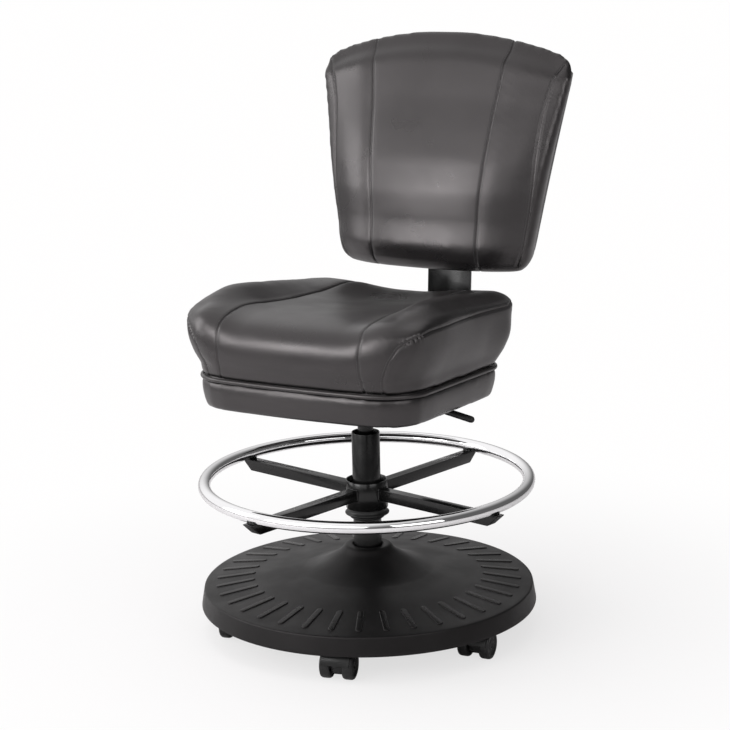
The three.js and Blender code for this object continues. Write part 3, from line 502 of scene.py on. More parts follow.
def puffed(node, name, height_of, foot, rolled_at=None):
    """A cushion over the node: height_of a place is its distance from the flat side, held up to foot."""
    def above_foot(co):
        return gently(height_of(co), foot, foot + FOOT_RISE)

    piece = remeshed(grown(surface_copy(node, name), -CUSHION_SHRINK), CUSHION_VOXEL)
    softened(piece, CUSHION_ROUNDS, lambda co: FOOT_SOFT_SHARE + (1 - FOOT_SOFT_SHARE) * above_foot(co))
    if rolled_at:
        softened(piece, ROLL_ROUNDS, rolled_at)
    rest = [vertex.co.copy() for vertex in piece.data.vertices]
    normals = normals_of(piece)
    puff = np.full(len(rest), CUSHION_SHRINK)
    group = piece.vertex_groups.new(name="held")
    group.add([k for k, co in enumerate(rest) if height_of(co) < foot], 1.0, "REPLACE")
    cloth = modify(piece, "CLOTH").settings
    set_all(cloth, PUFF_CLOTH)
    cloth.effector_weights.gravity = 0
    for step in range(1, PUFF_FRAMES + 1):
        bpy.context.scene.frame_set(step)
    shaped = piece.evaluated_get(bpy.context.evaluated_depsgraph_get())
    outward = [(vertex.co - start).dot(normal) / MM
               for vertex, start, normal in zip(shaped.data.vertices, rest, normals)]
    puff = np.clip(outward, PUFF_LEAST, PUFF_MOST)
    piece.modifiers.clear()
    piece.vertex_groups.clear()
    bpy.context.scene.frame_set(1)
    low = np.array([1 - above_foot(co) for co in rest])
    puff = evened_out(piece, puff) * (1 - low) + (CUSHION_SHRINK + FOOT_REGROWTH) * low
    for vertex, start, normal, outward in zip(piece.data.vertices, rest, normals, puff):
        vertex.co = start + normal * float(outward) * MM
    modify(piece, "SUBSURF", levels=1, render_levels=1)
    return softened(settle(piece), SKIN_ROUNDS, lambda co: 1)


# Seams: lines on a cushion that draw it in, with rows of thread beside them
SEAM_STEP = 2
SEAM_ROUNDS = 6
STITCH_OFFSET = 3.4
STITCH_LIFT = 0.05


class Seam:
    """A line that lies on a surface, as evenly spaced points with their surface normals."""

    def __init__(self, surface, guide):
        smooth_guide = averaged(self.spaced(guide), SEAM_ROUNDS)
        found = [surface.find_nearest(point) for point in self.spaced(smooth_guide)]
        self.points = [place for place, _, _, _ in found]
        self.normals = [normal for _, normal, _, _ in found]

    @staticmethod
    def spaced(guide):
        lengths = [(b - a).length for a, b in zip(guide, guide[1:])]
        total = sum(lengths)
        count = max(2, round(total / (SEAM_STEP * MM)))
        points = []
        leg = 0
        walked = 0.0
        for k in range(count + 1):
            target = total * k / count
            while leg < len(lengths) - 1 and walked + lengths[leg] < target:
                walked += lengths[leg]
                leg += 1
            share = (target - walked) / lengths[leg] if lengths[leg] else 0
            points.append(guide[leg].lerp(guide[leg + 1], min(1.0, share)))
        return points

    def side_row(self, surface, offset):
        """The seam's line moved aside over the surface, and lifted off it."""
        row = []
        for k, (point, normal) in enumerate(zip(self.points, self.normals)):
            along = self.points[min(k + 1, len(self.points) - 1)] - self.points[max(k - 1, 0)]
            aside = along.cross(normal).normalized()
            place, up, _, _ = surface.find_nearest(point + aside * offset * MM)
            row.append((place + up * STITCH_LIFT * MM, up))
        return row


def surface_of(piece):
    return BVHTree.FromPolygons(
        [vertex.co for vertex in piece.data.vertices],
        [polygon.vertices for polygon in piece.data.polygons],
    )


SEAM_REFINED = 9
SEAM_FURROW = 1.7
STITCH_DIP = 0.45
STITCH_DIP_WIDTH = 1.3
PUCKER_LENGTH = 7
PUCKER_FROM = 5
PUCKER_REACH = 7
PUCKER_REACHES = 3
PUCKER_DRIFT = 5
PUCKER_DRIFT_SCALE = 30
PUCKER_PATCH_SCALE = 45
PUCKER_PATCHES = (-0.1, 0.5)


def bell(gap, middle, width):
    return exp(-((gap - middle) / width) ** 2)


def draw_in(piece, seams, depth, pucker=0.0, puckers_at=None):
    """Pulls the surface in along seams; puckers_at scales folds by the way from a seam's end and the drop."""
    samples = [(point, min(k, len(seam.points) - 1 - k))
               for seam in seams for k, point in enumerate(seam.points)]
    tree = KDTree(len(samples))
    for k, (point, _) in enumerate(samples):
        tree.insert(point, k)
    tree.balance()
    finer = bmesh.new()
    finer.from_mesh(piece.data)
    near = {vertex for vertex in finer.verts if tree.find(vertex.co)[2] < SEAM_REFINED * MM}
    edges = [edge for edge in finer.edges if edge.verts[0] in near and edge.verts[1] in near]
    bmesh.ops.subdivide_edges(finer, edges=edges, cuts=1, use_grid_fill=True)
    finer.normal_update()
    finer.to_mesh(piece.data)
    finer.free()
    for vertex, normal in zip(piece.data.vertices, normals_of(piece)):
        _, index, distance = tree.find(vertex.co)
        gap = distance / MM
        if gap > PUCKER_FROM + PUCKER_REACHES * PUCKER_REACH:
            continue
        inward = depth * bell(gap, 0, SEAM_FURROW)
        inward += STITCH_DIP * bell(gap, STITCH_OFFSET, STITCH_DIP_WIDTH)
        if puckers_at:
            walked = samples[index][1] * SEAM_STEP
            drop = (samples[index][0].z - vertex.co.z) / MM
            drift = PUCKER_DRIFT * noise.noise(vertex.co * PUCKER_DRIFT_SCALE)
            fold = sin(2 * pi * walked / PUCKER_LENGTH + drift)
            uneven = gently(noise.noise(vertex.co * PUCKER_PATCH_SCALE), *PUCKER_PATCHES)
            inward += pucker * fold * uneven * puckers_at(walked, drop) * bell(gap, PUCKER_FROM, PUCKER_REACH)
        vertex.co -= normal * inward * MM
    shade(piece.data)


STITCH_LENGTH = 2.7
STITCH_PITCH = 3.7
STITCH_RADIUS = 0.36
STITCH_RING_SHARES = ((-0.5, 0.35), (-0.38, 0.9), (0.0, 1.15), (0.38, 0.9), (0.5, 0.35))
STITCH_SIDES = 6


def stitch(behind, point, up):
    """One thread's vertices and faces, laid along the way from the point behind."""
    along = (point - behind).normalized()
    aside = along.cross(up).normalized()
    return lofted([
        section_loop(point + along * place * STITCH_LENGTH * MM, aside, up,
                     size * STITCH_RADIUS * MM, STITCH_SIDES)
        for place, size in STITCH_RING_SHARES
    ])


def stitches(name, surface, seams, offsets):
    """Short raised threads in rows at offsets from each seam."""
    threads = []
    for row in (seam.side_row(surface, offset) for seam in seams for offset in offsets):
        walked = 0.0
        for (behind, _), (point, up) in zip(row, row[1:]):
            started = floor(walked / STITCH_PITCH)
            walked += (point - behind).length / MM
            if started < floor(walked / STITCH_PITCH):
                threads.append(stitch(behind, point, up))
    finished(new_piece(name, *joined(threads)), "leather", "seat", THREAD)


# Seat outline, as in the CAD source
SEAT_TILT = radians(3.0)
SEAT_PLANE = 468
SEAT_PANEL = {"front": -257, "rear": 152, "front_half": 212, "rear_half": 209,
              "front_radius": 75, "rear_radius": 66, "front_bow": 14, "rear_bow": 6}
LEAST_RADIUS_SHARE = 0.25
ACROSS_STEPS = 24
ALONG_STEPS = 60


def panel_point(panel, across, along, inset=0.0):
    """A point of a rounded panel: across from -1 to 1, along from 0 at its front to 1 at its rear."""
    front = panel["front"] + inset
    rear = panel["rear"] - inset
    straight = rear - front - panel["rear_bow"]
    full = panel["front_half"] + (panel["rear_half"] - panel["front_half"]) * along
    half = full - inset
    for distance, full_radius in ((along * straight, panel["front_radius"]),
                                  ((1 - along) * straight, panel["rear_radius"])):
        radius = max(full_radius - inset, full_radius * LEAST_RADIUS_SHARE)
        if distance < radius:
            half -= radius - sqrt(radius ** 2 - (radius - distance) ** 2)
    x = across * half
    spread = (x / full) ** 2
    bow = panel["front_bow"] * (1 - along) ** 2 * spread - panel["rear_bow"] * along ** 2 * spread
    return x, front + (rear - front) * along + bow


def panel_outline(panel, inset):
    """Points round a panel, closest together at its corners."""
    rows = [(1 - cos(pi * k / ALONG_STEPS)) / 2 for k in range(ALONG_STEPS + 1)]
    columns = [-1 + 2 * k / ACROSS_STEPS for k in range(ACROSS_STEPS)]
    outline = [panel_point(panel, column, 0, inset) for column in columns]
    outline += [panel_point(panel, 1, row, inset) for row in rows[:-1]]
    outline += [panel_point(panel, -column, 1, inset) for column in columns]
    outline += [panel_point(panel, -1, row, inset) for row in rows[:0:-1]]
    return outline


def on_seat(x, y, height):
    """A point given from the middle of the tilted seat plane, in millimetres."""
    return at_column(
        x,
        y * cos(SEAT_TILT) + height * sin(SEAT_TILT),
        SEAT_PLANE - y * sin(SEAT_TILT) + height * cos(SEAT_TILT),
    )


SEAT_FOOT = 16


def seat_height_of(co):
    """How far a point stands above the tilted seat plane, in millimetres."""
    return y_from_column(co) * sin(SEAT_TILT) + (co.z / MM - SEAT_PLANE) * cos(SEAT_TILT)


# Seat cushion: each zone is where an effect sets in, from none to all of it
NOSE_ZONE = (-170, -110)
NOSE_SIDE_ZONE = (120, 180)
NOSE_FOOT = 40
NOSE_SIDE_SHARE = 0.25
SIDE_ZONE = (90, 180)
FRONT_ZONE = (-140, -20)
REAR_ZONE = (40, 190)
LIFTED_ZONE = (50, 100)
SPREAD_ZONE = (30, 80)
LOW_ZONE = (14, 40)
UPPER_ZONE = (55, 105)
REAR_SIDE_ZONE = (120, 190)
REAR_SPREAD_ZONE = (30, 130)
REAR_LIFT = 9
SIDE_LIFT = 4
CORNER_LIFT = 6
CORNER_SPREAD = 5
REAR_SPREAD = 9
REAR_SPREAD_SHARES = (0.8, 0.6)


def on_nose(co):
    """Near 1 where the seat rolls over its front edge, less at its corners."""
    middle = 1 - (1 - NOSE_SIDE_SHARE) * gently(abs(co.x) / MM, *NOSE_SIDE_ZONE)
    raised = gently(seat_height_of(co), NOSE_FOOT, NOSE_FOOT + FOOT_RISE)
    return (1 - gently(y_from_column(co), *NOSE_ZONE)) * middle * raised


def filling(co):
    """How far the padding fills the leather out, mostly at the rear and the front corners."""
    x = abs(co.x) / MM
    y = y_from_column(co)
    height = seat_height_of(co)
    side = gently(x, *SIDE_ZONE)
    front = 1 - gently(y, *FRONT_ZONE)
    lift = REAR_LIFT * gently(y, *REAR_ZONE) * (1 - side) + SIDE_LIFT * side + CORNER_LIFT * side * front
    spread = CORNER_SPREAD * side * front * gently(height, *SPREAD_ZONE)
    low = gently(height, *LOW_ZONE) * (1 - gently(height, *UPPER_ZONE))
    rear_spread = REAR_SPREAD * low * gently(x, *REAR_SIDE_ZONE) * gently(y, *REAR_SPREAD_ZONE)
    aside_share, back_share = REAR_SPREAD_SHARES
    aside = copysign(spread + aside_share * rear_spread, co.x)
    return Vector((aside, back_share * rear_spread, lift * gently(height, *LIFTED_ZONE))) * MM


seat_cushion = puffed("seat_cushion", "seat_pad", seat_height_of, SEAT_FOOT, on_nose)
for vertex in seat_cushion.data.vertices:
    vertex.co += filling(vertex.co)
seat_surface = surface_of(seat_cushion)


def struck(surface, rays):
    """Where rays, each a start and a direction, first meet a surface, if they do."""
    places = [surface.ray_cast(start, direction)[0] for start, direction in rays]
    return [place for place in places if place is not None]


def from_photo(surface, pixels):
    """Points of a surface that the camera sees at pixels of the photograph."""
    half = PHOTO_SIZE / 2
    rays = [CAMERA_TURN @ Vector((x - half, half - y, -FOCAL_PIXELS)) for x, y in pixels]
    return struck(surface, [(CAMERA_PLACE, ray.normalized()) for ray in rays])


def mirrored(points):
    return [Vector((-point.x, point.y, point.z)) for point in points]


SEAT_TOP_PANEL = {**SEAT_PANEL, "front": -217, "rear": 200, "front_half": 210, "rear_half": 207,
                  "front_radius": 20, "rear_radius": 40}
INNER_SEAM_SHARES = (0.645, 0.56)
INNER_SEAM_EVEN_SHARE = 0.4
INNER_SEAM_STEPS = 30
INNER_SEAM_FIRST_STEP = 1
ABOVE_SEAT = 300
SEAT_INNER_SEAM_END = (116, 212, 109)
SEAT_INNER_SEAM_PIXELS = ((365, 394), (360, 379), (358, 359), (360, 342))
SEAT_BOX_SEAM_PIXELS = ((383, 392), (383, 379), (388, 364), (398, 349), (411, 340), (431, 331),
                        (456, 322), (481, 313), (509, 305.5))
SEAT_BOX_SEAM_REAR = ((204, 150, 114), (196, 178, 113), (176, 200, 112), (140, 210, 111),
                      (80, 212, 110), (0, 213, 109))

SEAT_FOOT_INSET = 5
SEAT_FOOT_HEIGHT = 13
seat_foot_line = [on_seat(x, y, SEAT_FOOT_HEIGHT) for x, y in panel_outline(SEAT_PANEL, SEAT_FOOT_INSET)]


def down_to_welt(guide):
    """The guide with one more point before it, where the seam runs into the piping."""
    foot = min(seat_foot_line, key=lambda place: (place - guide[0]).length)
    return [foot, *guide]


def inner_seam_over_seat():
    """The inner seam's run over the seat, from its nose to the box seam at the rear."""
    rays = []
    front_share, rear_share = INNER_SEAM_SHARES
    for k in range(INNER_SEAM_FIRST_STEP, INNER_SEAM_STEPS + 1):
        along = k / INNER_SEAM_STEPS
        across = front_share + (rear_share - front_share) * gently(along, 0, INNER_SEAM_EVEN_SHARE)
        x, y = panel_point(SEAT_TOP_PANEL, across, along)
        start = on_seat(x, y, ABOVE_SEAT)
        rays.append((start, on_seat(x, y, 0) - start))
    return [*struck(seat_surface, rays), on_seat(*SEAT_INNER_SEAM_END)]


inner_guide = down_to_welt(from_photo(seat_surface, SEAT_INNER_SEAM_PIXELS)) + inner_seam_over_seat()
box_guide = down_to_welt(from_photo(seat_surface, SEAT_BOX_SEAM_PIXELS))
box_rear = [on_seat(*point) for point in SEAT_BOX_SEAM_REAR]
box_whole = box_guide + box_rear + mirrored(box_rear[::-1][1:]) + mirrored(box_guide[::-1])
seat_inner_seams = [Seam(seat_surface, inner_guide), Seam(seat_surface, mirrored(inner_guide))]
seat_box_seam = Seam(seat_surface, box_whole)
GATHER_ZONE = (60, 80)
SMOOTH_AGAIN_ZONE = (130, 150)
GATHER_ABOVE_SHARE = 0.25
INNER_SEAM_DEPTH = 2.3
BOX_SEAM_DEPTH = 2
GATHER_DEPTH = 1.1


def at_front_corner(walked, drop):
    """Near 1 under the box seam where it turns over the front corner and its leather is gathered."""
    gathered = gently(walked, *GATHER_ZONE) * (1 - gently(walked, *SMOOTH_AGAIN_ZONE))
    return gathered * (1 if drop > 0 else GATHER_ABOVE_SHARE)


draw_in(seat_cushion, seat_inner_seams, INNER_SEAM_DEPTH)
draw_in(seat_cushion, [seat_box_seam], BOX_SEAM_DEPTH, GATHER_DEPTH, at_front_corner)
seat_surface = surface_of(seat_cushion)
finished(seat_cushion, "leather", "seat")
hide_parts("seat_cushion")
BOTH_SIDES = (-STITCH_OFFSET, STITCH_OFFSET)
ABOVE_ONLY = (-STITCH_OFFSET,)
stitches("seat_inner_stitches", seat_surface, seat_inner_seams[::-1], BOTH_SIDES)
stitches("seat_box_stitches", seat_surface, [seat_box_seam], ABOVE_ONLY)


def seat_ring(name, section):
    """A closed band round the seat, with a section of (inset, height) points."""
    loops = [[on_seat(x, y, height) for x, y in panel_outline(SEAT_PANEL, inset)]
             for inset, height in section]
    return finished(new_piece(name, *lofted(loops, ends_meet=True)), "leather", "seat")


# Piping between cushion and skirt, and the leather that is turned in behind it
WELT_HEIGHT = 8.9
WELT_HALF_HEIGHT = 3.9
WELT_HALF_WIDTH = 3.5
WELT_SIDES = 20
seat_piping = seat_ring("seat_piping", [
    (WELT_HALF_WIDTH * cos(angle), WELT_HEIGHT + WELT_HALF_HEIGHT * sin(angle))
    for angle in circle_angles(WELT_SIDES)
])
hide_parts("seat_welt")
TURN_IN_SECTION = ((4.2, 6.0), (4.6, 13.0), (8.0, 15.0), (12.0, 15.0), (12.0, 6.0))
seat_ring("seat_turned_edge", TURN_IN_SECTION)

# Skirt under the piping, rounded at its lower edge
SKIRT_VOXEL = 3.2
SKIRT_ROUNDS = 40
SKIRT_HELD_SHARE = 0.1
SKIRT_FOOT_SHARE = 0.3
SKIRT_SMOOTHING = 1
UNDER_PIPING_ZONE = (-9, -1)
SKIRT_EDGE_ZONE = (-42, -30)


def skirt_softness(co):
    """How much the skirt is smoothed: least under the piping, less at its lower edge."""
    height = seat_height_of(co)
    upper = 1 - (1 - SKIRT_HELD_SHARE) * gently(height, *UNDER_PIPING_ZONE)
    return upper * (SKIRT_FOOT_SHARE + (1 - SKIRT_FOOT_SHARE) * gently(height, *SKIRT_EDGE_ZONE))


seat_skirt = remeshed(surface_copy("seat_skirt", "seat_skirt_cover"), SKIRT_VOXEL, SKIRT_SMOOTHING)
softened(seat_skirt, SKIRT_ROUNDS, skirt_softness)
finished(seat_skirt, "leather", "seat")
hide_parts("seat_skirt")

# Backrest: front cushion with its seams, and a thin rear cover
BAR_LEAN = radians(4.0)
BAR_FACE_Y = 336
BAR_FOOT_Z = 566
BACK_FOOT_Z = 600
BACK_FOOT_Y = BAR_FACE_Y + (BACK_FOOT_Z - BAR_FOOT_Z) * tan(BAR_LEAN)


def on_back(x, up, thickness):
    """A point of the backrest: up along it and out from the bar's face, in millimetres."""
    return at_column(
        x,
        BACK_FOOT_Y + up * sin(BAR_LEAN) - thickness * cos(BAR_LEAN),
        BACK_FOOT_Z + up * cos(BAR_LEAN) + thickness * sin(BAR_LEAN),
    )


def rise_and_depth(co):
    """How far up the backrest a point lies and how far before the bar's face, in millimetres."""
    y = y_from_column(co) - BACK_FOOT_Y
    z = co.z / MM - BACK_FOOT_Z
    return y * sin(BAR_LEAN) + z * cos(BAR_LEAN), z * sin(BAR_LEAN) - y * cos(BAR_LEAN)


BACK_HELD = 17
BACK_FRONT = Vector((0, -cos(BAR_LEAN), sin(BAR_LEAN)))
LOW_BACK_FULLNESS = 5.5
FOOT_ZONE = (0, 20)
MIDDLE_ZONE = (24, 95)
FACE_ZONE = (35, 65)
back_cushion = puffed("backrest_cushion", "back_pad", lambda co: rise_and_depth(co)[1], BACK_HELD)
for vertex in back_cushion.data.vertices:
    rise, depth = rise_and_depth(vertex.co)
    fullness = gently(rise, *FOOT_ZONE) * (1 - gently(rise, *MIDDLE_ZONE)) * gently(depth, *FACE_ZONE)
    vertex.co += BACK_FRONT * LOW_BACK_FULLNESS * fullness * MM
back_surface = surface_of(back_cushion)
BACK_SEAM_PLACES = ((104, 596), (106, 620), (107, 645), (110, 731), (117, 815), (124, 898),
                    (129, 939), (134, 980), (139, 1005))
BACK_SEAM_TOP = ((140, 425, 34), (140, 431, 24), (140, 431, 16))
BACK_SEAM_UNDER = ((103, -4, 80), (103, -1, 40), (103, 6, 18))
BEFORE_BACK = -800
TOWARDS_BACK = Vector((0, 1, 0))
BACK_BOX_SEAM_PIXELS = ((517, 266), (524, 246), (528.5, 220), (532.5, 190), (535.5, 160), (540, 130),
                        (545, 105), (553, 82), (565, 65))
rays = [(at_column(x, BEFORE_BACK, z), TOWARDS_BACK) for x, z in BACK_SEAM_PLACES]
back_guide = [on_back(*point) for point in reversed(BACK_SEAM_UNDER)]
back_guide += [*struck(back_surface, rays), *[on_back(*point) for point in BACK_SEAM_TOP]]
back_box_guide = from_photo(back_surface, BACK_BOX_SEAM_PIXELS)
back_seams = [Seam(back_surface, back_guide), Seam(back_surface, mirrored(back_guide))]
back_box_seams = [Seam(back_surface, back_box_guide), Seam(back_surface, mirrored(back_box_guide))]
BACK_SEAM_DEPTH = 2.2
BACK_BOX_SEAM_DEPTH = 1.6
BACK_PUCKER_DEPTH = 0.12
draw_in(back_cushion, back_seams, BACK_SEAM_DEPTH)
draw_in(back_cushion, back_box_seams, BACK_BOX_SEAM_DEPTH, BACK_PUCKER_DEPTH, lambda walked, drop: 1)
back_surface = surface_of(back_cushion)
finished(back_cushion, "leather", "seat")
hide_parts("backrest_cushion")
stitches("back_inner_stitches", back_surface, back_seams, BOTH_SIDES)
stitches("back_box_stitches", back_surface, back_box_seams, BOTH_SIDES)

SMOOTH_ANGLE = radians(32)
REAR_COVER_EDGE = 2
back_cover = surface_copy("backrest_rear_cover", "back_shell_cover")
modify(back_cover, "BEVEL", width=REAR_COVER_EDGE * MM, segments=3, limit_method="ANGLE",
       angle_limit=SMOOTH_ANGLE)
settle(back_cover)
modify(back_cover, "EDGE_SPLIT", split_angle=SMOOTH_ANGLE)
finished(back_cover, "leather", "seat")
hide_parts("backrest_rear_cover")

# Piping round the board, between the front cushion and the rear cover
BACK_PIPING_RADIUS = 7
BACK_PIPING_INSET = 2
BACK_PIPING_ROUNDS = 4
BACK_PIPING_SIDES = 14
board_corners = [vertex.co for vertex in frame["nodes"]["backrest_board"].data.vertices]
board_depths = [rise_and_depth(co)[1] for co in board_corners]
board_middle = (min(board_depths) + max(board_depths)) / 2
board_places = sorted({(round(co.x / MM, 2), round(rise_and_depth(co)[0], 2)) for co in board_corners})
hull = convex_hull_2d(board_places)
leftmost = hull.index(0)
board_outline = [board_places[k] for k in hull[leftmost:] + hull[:leftmost]]
board_centre_rise = sum(rise for _, rise in board_outline) / len(board_outline)
piping_line = []
for x, rise in board_outline:
    inward = Vector((-x, board_centre_rise - rise)).normalized() * BACK_PIPING_INSET
    piping_line.append(on_back(x + inward.x, rise + inward.y, board_middle))
piping_points = Seam.spaced([*piping_line, piping_line[0]])[:-1]
piping_points = averaged(piping_points, BACK_PIPING_ROUNDS, closed=True)
finished(new_piece("back_edge_piping", *tube_along(
    piping_points, [BACK_PIPING_RADIUS * MM] * len(piping_points), BACK_PIPING_SIDES, closed=True,
)), "leather", "seat")

# Foot ring: a smooth chrome ring over the CAD one, beads of weld and plugged spoke ends
RING_RADIUS = 288
RING_TUBE = 10.9
RING_HEIGHT = 269.5
RING_SIDES = 160
RING_TUBE_SIDES = 32
ring_points = [
    at_column(RING_RADIUS * cos(angle), RING_RADIUS * sin(angle), RING_HEIGHT)
    for angle in circle_angles(RING_SIDES)
]
ring = new_piece("foot_ring_tube", *tube_along(
    ring_points, [RING_TUBE * MM] * RING_SIDES, RING_TUBE_SIDES, closed=True))
finished(ring, "chrome", "foot_ring")
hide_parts("footring_ring")

SPOKE_COUNT = 4
SPOKE_FIRST_ANGLE = -13
SPOKE_HALF = 10
SPOKE_HEIGHT = 20
RING_SOLID_TUBE = 11
SPOKE_CLEARANCE = 0.3
SPOKE_TOP = RING_HEIGHT - RING_SOLID_TUBE - SPOKE_CLEARANCE
SPOKE_FOOT = SPOKE_TOP - SPOKE_HEIGHT
SPOKE_REACH = 302
SPOKE_SETBACK = 22
HUB_RADIUS = 37.5
BEAD_RADIUS = 1.9
BEAD_PITCH = 3
BEAD_SIDES = 10
BEAD_SHARES = (0.8, 0.3)
BEAD_OFFSET = 0.6
RING_BEAD_OFFSET = 3.5
RING_BEAD_INSET = 1
PLUG_INSET = 0.4
PLUG_LAYERS = ((-3.0, 1.0), (0.4, 1.0), (1.3, 0.9), (1.7, 0.72))


def bead(name, points):
    """A line of weld with its rippled surface."""
    line = Seam.spaced(points)
    least, ripple = BEAD_SHARES
    radii = [
        BEAD_RADIUS * MM * (least + ripple * abs(sin(pi * k * SEAM_STEP / BEAD_PITCH)))
        for k in range(len(line))
    ]
    finished(new_piece(name, *tube_along(line, radii, BEAD_SIDES)), "painted_steel", "foot_ring")


def along_spoke(angle, reach, aside, height):
    turn = radians(angle)
    x = reach * sin(turn) + aside * cos(turn)
    y = -reach * cos(turn) + aside * sin(turn)
    return at_column(x, y, height)


def spoke_plug(name, angle):
    """A slanted plastic plug with a soft edge in the open end of a spoke."""
    outer = SPOKE_HALF - PLUG_INSET
    low = SPOKE_FOOT + PLUG_INSET
    high = SPOKE_TOP - PLUG_INSET
    middle = (low + high) / 2
    loops = []
    for lift, size in PLUG_LAYERS:
        loop = []
        for aside, share in ((-1, 0), (1, 0), (1, 1), (-1, 1)):
            height = middle + (low + (high - low) * share - middle) * size
            setback = SPOKE_SETBACK * (SPOKE_TOP - height) / SPOKE_HEIGHT
            loop.append(along_spoke(angle, SPOKE_REACH - setback + lift, aside * outer * size, height))
        loops.append(loop)
    finished(new_piece(name, *lofted(loops), smooth=False), "nylon", "foot_ring")


root_edge = sqrt(HUB_RADIUS ** 2 - SPOKE_HALF ** 2) + BEAD_OFFSET
root_line = ((root_edge, -SPOKE_HALF), (HUB_RADIUS + BEAD_OFFSET, 0), (root_edge, SPOKE_HALF))
root_corners = [
    (*root_line[0], SPOKE_FOOT),
    *[(*place, SPOKE_TOP) for place in root_line],
    *[(*place, SPOKE_FOOT) for place in reversed(root_line)],
]
for number in range(1, SPOKE_COUNT + 1):
    angle = SPOKE_FIRST_ANGLE + 360 / SPOKE_COUNT * (number - 1)
    bead(f"spoke_root_weld_{number}", [along_spoke(angle, *corner) for corner in root_corners])
    for place, offset in (("inner", -RING_BEAD_OFFSET), ("outer", RING_BEAD_OFFSET)):
        bead(f"ring_weld_{place}_{number}", [
            along_spoke(angle, RING_RADIUS + offset, aside, SPOKE_TOP + BEAD_OFFSET)
            for aside in (RING_BEAD_INSET - SPOKE_HALF, SPOKE_HALF - RING_BEAD_INSET)
        ])
    spoke_plug(f"spoke_plug_{number}", angle)

# Hub, its bush and the column tube with its rolled upper rim, turned with softened edges
column_turn = Matrix.Translation(at_column(0, 0, 0))
TURNED_PIECES = (
    ("foot_ring_hub_tube", "footring_hub", "painted_steel", "foot_ring", (
        (35.0, 219.6), (35.6, 219.0), (36.9, 219.0), (37.5, 219.6), (37.5, 269.2), (36.9, 270.0),
        (35.6, 270.0), (35.0, 269.2),
    )),
    ("foot_ring_collar", "footring_bush", "nylon", "foot_ring", (
        (25.2, 200.7), (29.6, 200.7), (30.6, 201.4), (31.0, 202.8), (30.6, 204.2), (29.8, 205.0),
        (30.0, 206.0), (33.0, 206.6), (38.2, 207.4), (39.3, 208.3), (39.5, 209.4), (39.2, 210.4),
        (37.8, 211.6), (36.4, 213.2), (35.6, 215.0), (35.4, 217.0), (35.4, 218.6), (25.2, 218.6),
    )),
    ("column_sleeve", "column_tube", "painted_steel", "base", (
        (23.0, 66.5), (24.3, 63.0), (25.0, 146.7), (25.0, 355.8), (24.6, 356.7), (24.0, 357.0),
        (23.4, 356.7), (23.0, 355.8),
    )),
)
for name, node, slot, body, profile in TURNED_PIECES:
    piece = finished(turned(name, profile, column_turn), slot, body)
    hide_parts(node)

# Base cover: a turned shell with a softened rim, a sloping tread and a flared trumpet
COVER_OUTER = [(300.0, 49.0), (299.2, 54.0), (294.9, 78.2), (294.5, 79.8), (293.4, 80.9), (291.6, 81.4)]
TREAD_OUTER = (274.0, 84.0)
TREAD_INNER = (204.0, 94.0)
TRUMPET_FOOT = (160.0, 102.0)
TRUMPET_RISE = 48
TRUMPET_REACH = 124
TRUMPET_POWER = 2.35
TRUMPET_STEPS = 30
TRUMPET_END = 50
TRUMPET_LIP = [(47.0, 141.6), (44.6, 144.6), (42.6, 147.2), (40.8, 149.0), (38.6, 149.9), (36.0, 150.2),
               (29.0, 150.2), (27.9, 149.7), (27.5, 148.6), (27.5, 147.4)]
COVER_INNER = [(36.0, 147.0), (46.0, 138.0), (62.0, 123.5), (90.0, 109.0), (125.0, 100.5), (160.0, 98.9),
               (204.0, 90.9), (273.7, 80.9), (291.7, 75.9), (297.1, 48.4), (297.7, 47.9), (299.2, 47.9),
               (299.8, 48.3)]
TREAD_MIDDLE = (239.0, 89.0)
PROFILE_STEP = 4
EDGE_ROUNDS = 3
FLARE_ROUNDS = 50
FLARE_BLENDED = 12
COVER_SIDES = 180


def flare_point(k):
    """A point of the trumpet, the k-th from its foot."""
    radius = TRUMPET_FOOT[0] + (TRUMPET_END - TRUMPET_FOOT[0]) * k / TRUMPET_STEPS
    rise = TRUMPET_RISE * ((TRUMPET_FOOT[0] - radius) / TRUMPET_REACH) ** TRUMPET_POWER
    return radius, TRUMPET_FOOT[1] + rise


def evened(line, rounds):
    """A line with a point every step or so, whose inner corners are rounded off."""
    corners = [np.array(corner) for corner in line]
    points = []
    for start, end in zip(corners, corners[1:]):
        count = max(1, round(dist(start, end) / PROFILE_STEP))
        points += [start + (end - start) * k / count for k in range(count)]
    return averaged([*points, corners[-1]], rounds)


flare = [flare_point(k) for k in range(1, TRUMPET_STEPS + 1)]
tread_edge = evened([COVER_OUTER[-1], TREAD_OUTER, TREAD_MIDDLE], EDGE_ROUNDS)[:-1]
flare_foot = evened([TREAD_MIDDLE, TREAD_INNER, TRUMPET_FOOT, *flare[:FLARE_BLENDED]], FLARE_ROUNDS)
cover = turned("base_cover_shell", [
    *COVER_OUTER[:-1], *tread_edge, *flare_foot, *flare[FLARE_BLENDED:], *TRUMPET_LIP, *COVER_INNER,
], column_turn, COVER_SIDES)
finished(cover, "base_black", "base")
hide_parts("base_cover")

# Raised ribs on the tread: long ovals with a rounded upper edge
RIB_COUNT = 36
RIB_HALF_WIDTH = 5.5
RIB_LAYERS = ((0.25, -0.6), (0.1, 0.0), (0.0, 0.7), (-0.25, 1.25), (-0.75, 1.55), (-1.6, 1.65))
RIB_END_STEPS = 8


